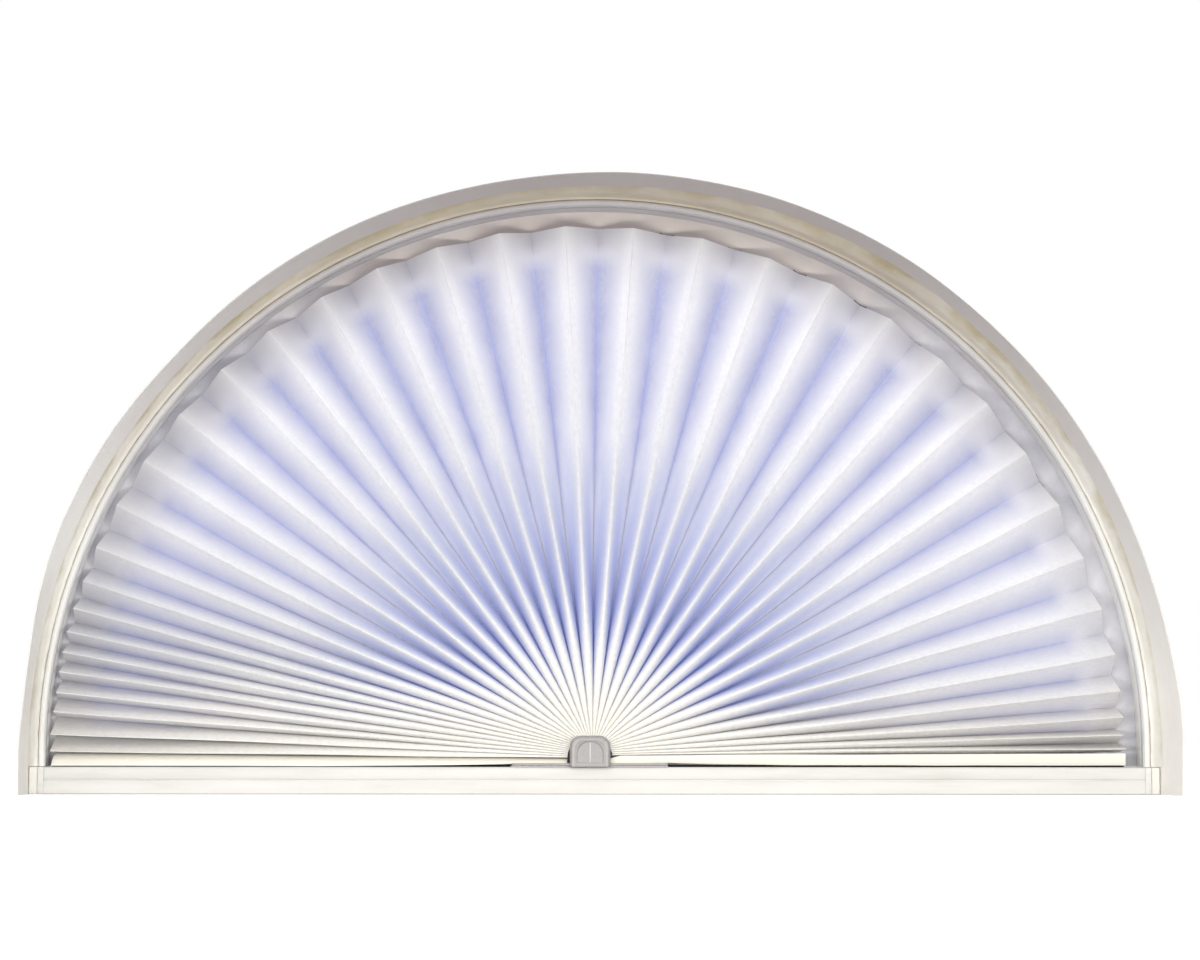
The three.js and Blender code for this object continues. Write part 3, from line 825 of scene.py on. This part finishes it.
def build_jamb():
    """Lining of the arch, with a fine groove round its inner face"""
    front, back = JAMB_LOW[1], JAMB_HIGH[1]
    groove_y = lerp(front, back, 0.3)
    outline = [
        (OPENING_RADIUS + SOFT_EDGE, front),
        (JAMB_OUTER, front),
        (JAMB_OUTER, back),
        (OPENING_RADIUS, back),
        (OPENING_RADIUS, groove_y + 0.6),
        (OPENING_RADIUS + 0.4, groove_y),
        (OPENING_RADIUS, groove_y - 0.6),
        (OPENING_RADIUS, front + SOFT_EDGE),
    ]
    jamb = add_arch("jamb", outline, FRAME_FOOT, VINYL)
    dress(jamb, "frame", "white_vinyl", "jamb_arch")


def build_sash():
    """Flat ring behind the paper's rim, with a small bead and a chamfer at its inner edge"""
    lip = SASH_INNER + SASH_CHAMFER
    outline = [
        (lip + 4.0, SASH_FRONT_Y),
        (JAMB_OUTER, SASH_FRONT_Y),
        (JAMB_OUTER, BACK_Y),
        (SASH_INNER + SOFT_EDGE, BACK_Y),
        (SASH_INNER, BACK_Y - SOFT_EDGE),
        (SASH_INNER, SASH_FRONT_Y + SASH_CHAMFER),
        (lip - 0.9, SASH_FRONT_Y + 0.5),
        (lip + 0.5, SASH_FRONT_Y + 0.1),
        (lip + 2.0, SASH_FRONT_Y + 0.5),
    ]
    edge = [0.0, 1.0] + [0.0] * (len(outline) - 2)
    sash = add_arch("sash", outline, FRAME_FOOT, SASH_VINYL, corner_values={"edge": edge})
    dress(sash, "frame", "white_vinyl", "sash_ring")


def build_sill():
    """Moulded sill: flat lower band, groove, and an upper band that rounds over to the top"""
    front = SILL_LOW[1]
    top = SILL_HIGH[2]
    outline = [(BACK_Y, 0.0)] + [(front + depth, height) for depth, height in SILL_PROFILE]
    for step in range(SILL_STEPS + 1):
        turn = math.pi / 2 * step / SILL_STEPS
        y = front + SILL_PROFILE[-1][0] + SILL_ROUND * (1 - math.cos(turn))
        outline.append((y, top - SILL_ROUND + SILL_ROUND * math.sin(turn)))
    outline.append((BACK_Y, top))
    rings = []
    for station in range(STATIONS + 1):
        x = lerp(SILL_LOW[0], SILL_HIGH[0], station / STATIONS)
        ring = []
        for y, z in outline:
            wave = 0.12 * ripple(x, 41 + z * 0.05, 70.0) if y < BACK_Y and 0 < z < top else 0.0
            ring.append((x, y + wave, z))
        rings.append(ring)
    sill = add_loft("sill", rings, SILL_VINYL, crease_degrees=30)
    dress(sill, "frame", "white_vinyl", "sill_board")


def build_corner_feet():
    """At both ends the bead and the sealant run on down over the sill's front"""
    inner = OPENING_RADIUS + GAP
    outer = inner + BEAD_WIDTH
    feet = (
        ("bead_foot", inner, outer, SILL_VINYL, "white_vinyl"),
        ("sealant_foot", outer + GAP, SILL_HIGH[0] - GAP, SEALANT, "sealant"),
    )
    for side, side_name in ((-1, "left"), (1, "right")):
        for name, start, end, material, slot in feet:
            low = [min(side * start, side * end), SILL_LOW[1] - FOOT_DEPTH, 0.4]
            high = [max(side * start, side * end), SILL_LOW[1] - 0.05, SILL_HIGH[2] - 0.2]
            foot = add_bevelled_box(f"{name}_{side_name}", low, high, 0.5, material)
            mark(foot, "edge", [FOOT_AGE] * len(foot.data.vertices))
            dress(foot, "frame", slot)


def build_rail():
    rail = add_bevelled_box("sash_rail", *node_box("sash_bottom_rail"), 1.2, SASH_VINYL)
    dress(rail, "frame", "white_vinyl", "sash_bottom_rail")


# Pleats

def fan_angle(point):
    return math.degrees(math.atan2(point[2] - PIVOT[2], PIVOT[0] - point[0]))


def fan_distance(point):
    return math.hypot(point[0] - PIVOT[0], point[2] - PIVOT[2])


def fan_point(angle, distance):
    turn = math.radians(180 - angle)
    return Vector((PIVOT[0] + distance * math.cos(turn), 0.0, PIVOT[2] + distance * math.sin(turn)))


def pleat_name(pleat):
    return f"pleat_{pleat + 1:02d}"


def read_fans():
    """Angles of the back folds at the hub and the rim, with both radii, read off the pleats' own solids"""
    solids = []
    for pleat in range(PLEAT_COUNT):
        vertices = frame["nodes"][pleat_name(pleat)].data.vertices
        solids.append([Vector(vertex.co) / MM for vertex in vertices])
    distances = [fan_distance(point) for points in solids for point in points]
    radii = (min(distances), max(distances))
    fans = []
    for radius in radii:
        spans = []
        for points in solids:
            angles = [fan_angle(point) for point in points if abs(fan_distance(point) - radius) < 1.5]
            spans.append((min(angles), max(angles)))
        inside = [(spans[i][1] + spans[i + 1][0]) / 2 for i in range(PLEAT_COUNT - 1)]
        fans.append([spans[0][0], *inside, spans[-1][1]])
    depths = [point[1] for points in solids for point in points]
    return fans[0], fans[1], radii, (min(depths) + max(depths)) / 2


HUB_FOLDS, RIM_FOLDS, (HUB_RADIUS, RIM_RADIUS), PLEAT_MID_Y = read_fans()


def fold_line(hub_angle, rim_angle, seed, share):
    """Point on a fold line, which wanders a little between hub and rim"""
    hub = fan_point(hub_angle, HUB_RADIUS)
    rim = fan_point(rim_angle, RIM_RADIUS + RIM_UNEVEN * ripple(0, seed, 1.0))
    along = (rim - hub).normalized()
    sideways = Vector((-along.z, 0.0, along.x))
    fade = min(1.0, 4 * share * (1 - 0.6 * share))
    return hub.lerp(rim, share) + sideways * FOLD_WAVE * fade * ripple(share, seed, 0.45)


def back_fold(index, share):
    return fold_line(HUB_FOLDS[index], RIM_FOLDS[index], index, share)


def front_fold(pleat, share):
    hub_angle = (HUB_FOLDS[pleat] + HUB_FOLDS[pleat + 1]) / 2
    sag = LEFT_SAG[pleat] if pleat < len(LEFT_SAG) else 0.0
    rim_angle = (RIM_FOLDS[pleat] + RIM_FOLDS[pleat + 1]) / 2 - sag
    return fold_line(hub_angle, rim_angle, 50 + pleat, share)


def half_width(pleat, share):
    hub = fan_point(HUB_FOLDS[pleat + 1], HUB_RADIUS) - fan_point(HUB_FOLDS[pleat], HUB_RADIUS)
    rim = fan_point(RIM_FOLDS[pleat + 1], RIM_RADIUS) - fan_point(RIM_FOLDS[pleat], RIM_RADIUS)
    return hub.lerp(rim, share).length / 2


def fold_depth(pleat, share):
    """Distance in Y between a pleat's front fold and its back folds"""
    return math.sqrt(PANEL_WIDTH ** 2 - half_width(pleat, share) ** 2)


def back_y(index, share):
    """A back fold is shared by two pleats, so it lies at the mean of their depths"""
    neighbours = [pleat for pleat in (index - 1, index) if 0 <= pleat < PLEAT_COUNT]
    return PLEAT_MID_Y + sum(fold_depth(pleat, share) for pleat in neighbours) / len(neighbours) / 2


def front_y(pleat, share):
    return PLEAT_MID_Y - fold_depth(pleat, share) / 2


def creased(share):
    """Share of the depth reached at a share of the panel's width; the fold itself is slightly round"""
    rounding = CREASE_ROUNDING
    return (math.hypot(share, rounding) - rounding) / (math.hypot(1.0, rounding) - rounding)


def pleat_row(pleat, share):
    """Points across a pleat from its left back fold over the front fold to the right back fold"""
    front = front_fold(pleat, share)
    front.y = front_y(pleat, share)
    half = half_width(pleat, share)
    bulge = sum(strength * math.exp(-(half / width) ** 2) for strength, width in FOLD_BULGES)
    fullness = 1 + bulge * (1 - share) ** BULGE_FADE
    row = []
    for side, index in ((-1, pleat), (1, pleat + 1)):
        back = back_fold(index, share)
        back.y = back_y(index, share)
        bow = PANEL_BOW * (0.35 + 0.65 * ripple(share, 90 + 2 * pleat + side, 0.5)) * share
        panel = []
        for across in PANEL_SHARES:
            point = front.lerp(back, 1 - (1 - across) ** fullness)
            point.y = lerp(front.y, back.y, creased(across)) - bow * 4 * across * (1 - across)
            panel.append((point, across))
        row.extend(reversed(panel) if side < 0 else panel[1:])
    return row


def build_pleat(pleat):
    points, fold, reach = [], [], []
    for step in range(PLEAT_ROWS + 1):
        share = step / PLEAT_ROWS
        for point, across in pleat_row(pleat, share):
            points.append(point)
            fold.append(across)
            reach.append(share)
    rows = PLEAT_ROWS + 1
    faces = grid_faces(rows, len(points) // rows)
    attributes = {"fold": fold, "reach": reach}
    name = pleat_name(pleat)
    paper = add_mesh(f"paper_{name}", points, faces, PAPER, crease_degrees=70, attributes=attributes)
    dress(paper, name, "pleat_paper", name)
    return paper


def build_nose(pleat):
    """The soft nose of a front fold, thicker towards the rim"""
    shares = [row / PLEAT_ROWS for row in range(PLEAT_ROWS + 1)]
    radii = [lerp(*NOSE_RADII, share) for share in shares]
    path = []
    for share, radius in zip(shares, radii):
        point = front_fold(pleat, share)
        point.y = front_y(pleat, share) + radius / 2
        path.append(point)
    nose = add_tube(f"nose_{pleat_name(pleat)}", path, radii, PAPER, NOSE_SIDES)
    mark(nose, "reach", [share for share in shares for _ in range(NOSE_SIDES)])
    return dress(nose, pleat_name(pleat), "pleat_paper")


def gather(piece):
    """Gives a piece of a pleat its own copy of its mesh"""
    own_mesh(piece)


def build_thread(pleat):
    """The piece of thread that runs through one pleat, from valley to valley"""
    share = (THREAD_DISTANCE - HUB_RADIUS) / (RIM_RADIUS - HUB_RADIUS)
    left = back_fold(pleat, share)
    right = back_fold(pleat + 1, share)
    y = front_y(pleat, share) + THREAD_SETBACK
    path = []
    for step in range(THREAD_STEPS + 1):
        share_across = step / THREAD_STEPS
        point = left.lerp(right, share_across)
        point.y = y + THREAD_SAG * math.sin(math.pi * share_across)
        path.append(point)
    thread = add_tube(f"thread_{pleat + 1:02d}", path, [THREAD_RADIUS] * len(path), THREAD)
    return dress(thread, pleat_name(pleat), "strip_paper")


def build_clip(index):
    """A dark bent wire at the rim of one valley, just in front of the sash, that stands in for the shadow gap
    there
    """
    middle = RIM_FOLDS[index]
    half_turn = math.degrees(CLIP_LENGTH / 2 / RIM_RADIUS)
    path = []
    for step in range(CLIP_STEPS + 1):
        across = 2 * step / CLIP_STEPS - 1
        distance = RIM_RADIUS + CLIP_OUT - CLIP_BEND * (1 - across * across)
        point = fan_point(middle + half_turn * across, distance)
        point.y = SASH_FRONT_Y - CLIP_RADIUS - CLIP_GAP
        path.append(point)
    clip = add_tube(f"rim_shadow_clip_{index:02d}", path, [CLIP_RADIUS] * len(path), SHADOW_GAP_WIRE)
    return dress(clip, pleat_name(index - 1), "screw_steel")


def build_fan():
    for pleat in range(PLEAT_COUNT):
        for build in (build_pleat, build_nose, build_thread):
            gather(build(pleat))
    for index in range(1, PLEAT_COUNT):
        if CLIP_SPAN[0] < RIM_FOLDS[index] < CLIP_SPAN[1]:
            gather(build_clip(index))


# End strips

def near_plate(distance):
    """The strips lift off the sill where they reach the hub's base plate"""
    return PLATE_LIFT * math.exp(-max(distance - PLATE_HALF, 0.0) / PLATE_FADE)


def build_left_strip():
    """The last panel slopes from its back fold down to the edge stuck above the sill"""
    low, high = node_box("left_end_strip")
    points = []
    for row in range(STRIP_ROWS + 1):
        reach = row / STRIP_ROWS
        x = lerp(high[0], low[0], reach)
        foot = SILL_HIGH[2] + STRIP_CLEARANCE + near_plate(PIVOT[0] - x)
        top = lerp(*LEFT_TOP, reach)
        for column in range(LEFT_COLUMNS + 1):
            across = (column / LEFT_COLUMNS) ** 1.8
            wave = 0.2 * ripple(x, 130, 90.0) * (1 - across)
            z = lerp(foot, top, 1 - (1 - across) ** lerp(*STRIP_BULGE, reach)) + wave
            points.append((x + END_SLANT * across * reach ** 20, lerp(low[1], high[1], across), z))
    strip = add_mesh("left_strip", points, grid_faces(STRIP_ROWS + 1, LEFT_COLUMNS + 1), CARD)
    dress(strip, "frame", "strip_paper", "left_end_strip")


def strip_foot(distance):
    return FRAME_FOOT + STRIP_CLEARANCE + near_plate(distance) + CARD_LIFT


def smooth_step(value, start, end):
    share = min(max((value - start) / (end - start), 0.0), 1.0)
    return share * share * (3 - 2 * share)


def pleats_edge(distance):
    """Height of the last pleat's lower edge at the right"""
    return fan_point(RIM_FOLDS[-1], distance).z


def strip_top(distance):
    """The strip's wall stands up in front of the pleats, but not beside the hub"""
    share = distance / RIM_RADIUS
    wall = FRAME_FOOT + CARD_FOOT + CARD_RISE * (1 - share) + lerp(*CARD_WALL, share)
    below_pleats = min(pleats_edge(distance) - PLEATS_CLEARANCE, wall)
    return lerp(below_pleats, wall, smooth_step(distance, *WALL_FORWARD_SPAN))


def build_leading_strip():
    """Stiff folded card round the surplus paper, with soft corners and a slightly wavy foot"""
    low, high = node_box("leading_strip")
    rings = []
    for station in range(STATIONS + 1):
        distance = lerp(CARD_START, RIM_RADIUS, station / STATIONS)
        x = PIVOT[0] + distance
        foot = strip_foot(distance) + 0.35 * ripple(x, 140, 60.0)
        top = strip_top(distance) + 0.25 * ripple(x, 141, 80.0)
        near = low[1] - WALL_FORWARD * smooth_step(distance, *WALL_FORWARD_SPAN)
        inside = near + CARD_THICKNESS
        over = foot + CARD_THICKNESS
        shelf = [(near + 0.4, foot), (high[1], foot), (high[1], over), (inside, over)]
        wall = [(inside, top - 0.3), (near + 0.7, top), (near + 0.3, top), (near, top - 0.3)]
        front = [(near, (foot + top) / 2), (near, foot + 0.4)]
        rings.append([(x, y, z) for y, z in (*shelf, *wall, *front)])
    strip = add_loft("leading_card", rings, CARD, crease_degrees=50)
    dress(strip, "leading_end", "strip_paper", "leading_strip")


def build_leading_eye():
    """Collar at the strip's inner end that turns on the pin"""
    inner, outer = EYE_RADII
    near, far = EYE_SPAN
    near_end = [(inner, near), (outer - 0.4, near), (outer, near + 0.4)]
    far_end = [(outer, far - 0.4), (outer - 0.4, far), (inner, far)]
    rings = []
    for side in range(EYE_SIDES):
        turn = 2 * math.pi * side / EYE_SIDES
        ring = []
        for radius, y in (*near_end, *far_end):
            ring.append((PIVOT[0] + radius * math.cos(turn), y, PIVOT[2] + radius * math.sin(turn)))
        rings.append(ring)
    rings.append(rings[0])
    eye = add_loft("leading_eye", rings, CARD, capped=False)
    work = bmesh.new()
    work.from_mesh(eye.data)
    bmesh.ops.remove_doubles(work, verts=work.verts, dist=1e-6)
    work.to_mesh(eye.data)
    work.free()
    dress(eye, "leading_end", "strip_paper")


def build_surplus():
    """Surplus paper folded back and forth inside the leading strip"""
    low, high = node_box("surplus_folds")
    near, far = low[1] + SURPLUS_CLEAR, high[1] - SURPLUS_CLEAR
    across_points = []
    for layer in range(SURPLUS_LAYERS):
        ends = (near, far) if layer % 2 == 0 else (far, near)
        for step in range(SURPLUS_STEPS + 1):
            across_points.append((lerp(*ends, step / SURPLUS_STEPS), layer))
    points = []
    for row in range(STRIP_ROWS + 1):
        x = lerp(low[0], high[0], row / STRIP_ROWS)
        distance = x - PIVOT[0]
        foot = strip_foot(distance) + SURPLUS_LIFT
        top = min(strip_top(distance), pleats_edge(distance)) - PLEATS_CLEARANCE
        for y, layer in across_points:
            z = lerp(foot, top, layer / (SURPLUS_LAYERS - 1)) + 0.2 * ripple(x, 150 + layer, 70.0)
            points.append((x + 0.5 * ripple(layer, 160, 1.0), y, z))
    attributes = {label: [value] * len(points) for label, value in SURPLUS_FINISH.items()}
    faces = grid_faces(STRIP_ROWS + 1, len(across_points))
    folds = add_mesh("surplus_paper", points, faces, PAPER, attributes=attributes)
    dress(folds, "leading_end", "pleat_paper", "surplus_folds")


# Hub clip

def dome_ring(half, top, corner, foot, y):
    """Outline of a dome with rounded shoulders: up the left side, over, and down the right side"""
    sides, arcs, base = 4, 10, 8
    outline = [(-half, lerp(foot, top - corner, step / sides)) for step in range(sides)]
    for centre, start in (((corner - half), math.pi), ((half - corner), math.pi / 2)):
        for step in range(arcs + 1):
            turn = start - math.pi / 2 * step / arcs
            outline.append((centre + corner * math.cos(turn), top - corner + corner * math.sin(turn)))
    outline += [(half, lerp(top - corner, foot, step / sides)) for step in range(1, sides + 1)]
    outline += [(lerp(half, -half, step / base), foot) for step in range(1, base)]
    return [(PIVOT[0] + x, y, z) for x, z in outline]


def inset_dome(box, amount, y):
    """Outline of a cheek of the clip, drawn in from its CAD node's box by an amount"""
    low, high = box
    half = (high[0] - low[0]) / 2
    return dome_ring(half - amount, high[2] - amount, DOME_CORNER - 0.6 * amount, low[2], y)


def window_ring(amount, y):
    """Outline of the arched window in the front cover, drawn in by an amount"""
    radius = WINDOW_RADIUS - amount
    return dome_ring(radius, WINDOW_TOP - amount, radius - 0.01, WINDOW_FOOT + amount * 0.3, y)


def build_front_cover():
    """Front cheek, from its back edge to the window's floor: how far each ring is drawn in, and its Y"""
    box = node_box("hub_front_cover")
    face, back = box[0][1], box[1][1]
    outside = ((0.3, back), (0.0, back - 0.3), (0.0, face + 1.9), (0.25, face + 1.5), (1.7, face + 0.2))
    front = ((2.1, face), (3.7, face), (4.0, face), (4.3, face + 0.45), (4.8, face + 0.5))
    window = ((-0.5, face + 0.5), (0.0, face + 0.75), (0.3, face + 1.4), (6.0, face + 1.5))
    rings = [inset_dome(box, *entry) for entry in (*outside, *front)]
    rings += [window_ring(*entry) for entry in window]
    cover = add_loft("hub_cover", rings, PLASTIC, crease_degrees=30)
    # The chamfer gets the darker copy of the plastic: painted shade
    cover.data.materials.append(SHADED_CHAMFER_PLASTIC)
    for facet in cover.data.polygons:
        depths = [cover.data.vertices[i].co.y / MM for i in facet.vertices]
        on_chamfer = face + 0.1 < min(depths) and max(depths) < face + 1.95
        facet.material_index = 1 if on_chamfer else 0
    dress(cover, "frame", "clear_plastic", "hub_front_cover")
    # The rib in the window gets the pale copy of the plastic: a painted highlight
    low = [PIVOT[0] - 0.5, face + 0.5, RIB_FOOT]
    high = [PIVOT[0] + 0.5, face + 1.6, RIB_TOP]
    dress(add_bevelled_box("hub_rib", low, high, 0.4, HIGHLIGHT_PLASTIC), "frame", "clear_plastic")


def build_back_cover():
    box = node_box("hub_back_cover")
    face, back = box[0][1], box[1][1]
    outside = ((0.8, face), (0.0, face + 0.8), (0.0, back - 1.2), (0.4, back - 0.4), (1.4, back))
    hollow = ((5.0, back), (5.6, back - 0.5), (8.0, back - 0.5))
    rings = [inset_dome(box, *entry) for entry in (*outside, *hollow)]
    cheek = add_loft("hub_cheek", rings, PLASTIC, crease_degrees=30)
    dress(cheek, "frame", "clear_plastic", "hub_back_cover")


def build_base_plate():
    plate = add_bevelled_box("hub_plate", *node_box("hub_base_plate"), 0.6, PLASTIC)
    dress(plate, "frame", "clear_plastic", "hub_base_plate")


def finish_cad_nodes():
    """CAD nodes that stay as they are get a worked material"""
    finishes = {"screw": STEEL, "pivot_pin": STEEL, "adhesive_pad": TAPE, "sill_seal": FOAM}
    for name, node in frame["nodes"].items():
        for part, material in finishes.items():
            if part in name:
                for holder in node.material_slots:
                    holder.link = "OBJECT"
                    holder.material = material


# Light, floor and camera

def add_light(name, kind, energy, color, location, target, **settings):
    data = bpy.data.lights.new(name, kind)
    data.energy = energy
    data.color = color
    for label, value in settings.items():
        setattr(data, label, value)
    light = bpy.data.objects.new(name, data)
    light.location = location
    light.rotation_euler = (Vector(target) - Vector(location)).to_track_quat("-Z", "Y").to_euler()
    light.visible_camera = False
    bpy.context.scene.collection.objects.link(light)


def light_scene():
    """Soft studio light from the upper left and the right, and faintly blue daylight behind the paper"""
    add_light("key", "SUN", 1.05, (1.0, 0.995, 0.95), (-1.6, -3.0, 2.4), (0.0, 0.0, 0.0), angle=1.0)
    add_light("fill", "SUN", 0.55, (1.0, 0.99, 0.95), (2.4, -2.6, 1.1), (0.0, 0.0, 0.0), angle=1.2)
    panel = {"shape": "RECTANGLE", "size": 1.5, "size_y": 0.12}
    add_light("low_front", "AREA", 12.0, (1.0, 0.985, 0.93), (0.0, -1.05, 0.05), (0.0, 0.0, 0.04), **panel)
    window = {"shape": "RECTANGLE", "size": 1.1, "size_y": 0.6}
    add_light("daylight", "AREA", 3.6, (0.86, 0.88, 1.0), (0.0, 0.42, 0.30), (0.0, 0.0, 0.27), **window)


def set_world():
    """Ambient light, bright from above and both sides, weak from front and behind. The camera sees white."""
    world = bpy.data.worlds.new("studio")
    bpy.context.scene.world = world
    world.use_nodes = True
    nodes = world.node_tree.nodes
    links = world.node_tree.links

    def step(value, start, end, at_start, at_end):
        made = nodes.new("ShaderNodeMapRange")
        links.new(value, made.inputs["Value"])
        levels = (("From Min", start), ("From Max", end), ("To Min", at_start), ("To Max", at_end))
        for label, level in levels:
            made.inputs[label].default_value = level
        return made.outputs["Result"]

    direction = nodes.new("ShaderNodeSeparateXYZ")
    links.new(nodes.new("ShaderNodeTexCoord").outputs["Generated"], direction.inputs["Vector"])
    depth = direction.outputs["Y"]
    sideways = step(maths(nodes, links, "ABSOLUTE", depth), *AMBIENT_SIDE_SPAN, AMBIENT_SIDES, 0.0)
    above_floor = step(direction.outputs["Z"], -0.15, 0.05, 0.0, 1.0)
    behind = step(depth, 0.0, 0.6, AMBIENT_FRONT, AMBIENT_BACK)
    ambient = nodes["Background"]
    ambient.inputs["Color"].default_value = (0.96, 0.97, 1.0, 1.0)
    above = maths(nodes, links, "MULTIPLY", sideways, above_floor)
    links.new(maths(nodes, links, "ADD", above, behind), ambient.inputs["Strength"])
    backdrop = nodes.new("ShaderNodeBackground")
    backdrop.inputs["Color"].default_value = (1.0, 1.0, 1.0, 1.0)
    seen = nodes.new("ShaderNodeLightPath")
    chosen = nodes.new("ShaderNodeMixShader")
    links.new(seen.outputs["Is Camera Ray"], chosen.inputs[0])
    links.new(ambient.outputs[0], chosen.inputs[1])
    links.new(backdrop.outputs[0], chosen.inputs[2])
    links.new(chosen.outputs[0], nodes["World Output"].inputs["Surface"])


def add_floor():
    pale = Finish("studio_floor", roughness=0.9, specular=0.1)
    pale.set("Base Color", (0.9, 0.9, 0.9, 1.0))
    pale.set("Emission Color", (1.0, 1.0, 1.0, 1.0))
    pale.set("Emission Strength", 0.75)
    signs = ((-1, -1), (1, -1), (1, 1), (-1, 1))
    corners = [(FLOOR_REACH * x, FLOOR_REACH * y, -FLOOR_DROP) for x, y in signs]
    floor = add_mesh("floor", corners, [(0, 1, 2, 3)], pale.material)
    floor.visible_diffuse = False
    return floor


def spare_floor(floor):
    """The near lights don't reach the floor, so that they draw no edge on it"""
    lit = bpy.data.collections.new("lit_pieces")
    for piece in bpy.context.scene.objects:
        if piece.type == "MESH" and piece is not floor:
            lit.objects.link(piece)
    for name in ("low_front", "daylight"):
        bpy.data.objects[name].light_linking.receiver_collection = lit


def add_camera():
    data = bpy.data.cameras.new("camera")
    data.sensor_width = CAMERA_SENSOR
    data.sensor_fit = "HORIZONTAL"
    data.lens = CAMERA_LENS
    camera = bpy.data.objects.new("camera", data)
    camera.location = CAMERA_PLACE
    camera.rotation_euler = CAMERA_TURN
    bpy.context.scene.collection.objects.link(camera)
    bpy.context.scene.camera = camera
    bpy.context.scene.view_settings.view_transform = "Standard"


build_casing()
build_sealant()
build_front_bead()
build_jamb()
build_sash()
build_sill()
build_corner_feet()
build_rail()
build_fan()
build_left_strip()
build_leading_strip()
build_leading_eye()
build_surplus()
build_front_cover()
build_back_cover()
build_base_plate()
finish_cad_nodes()
light_scene()
set_world()
spare_floor(add_floor())
add_camera()
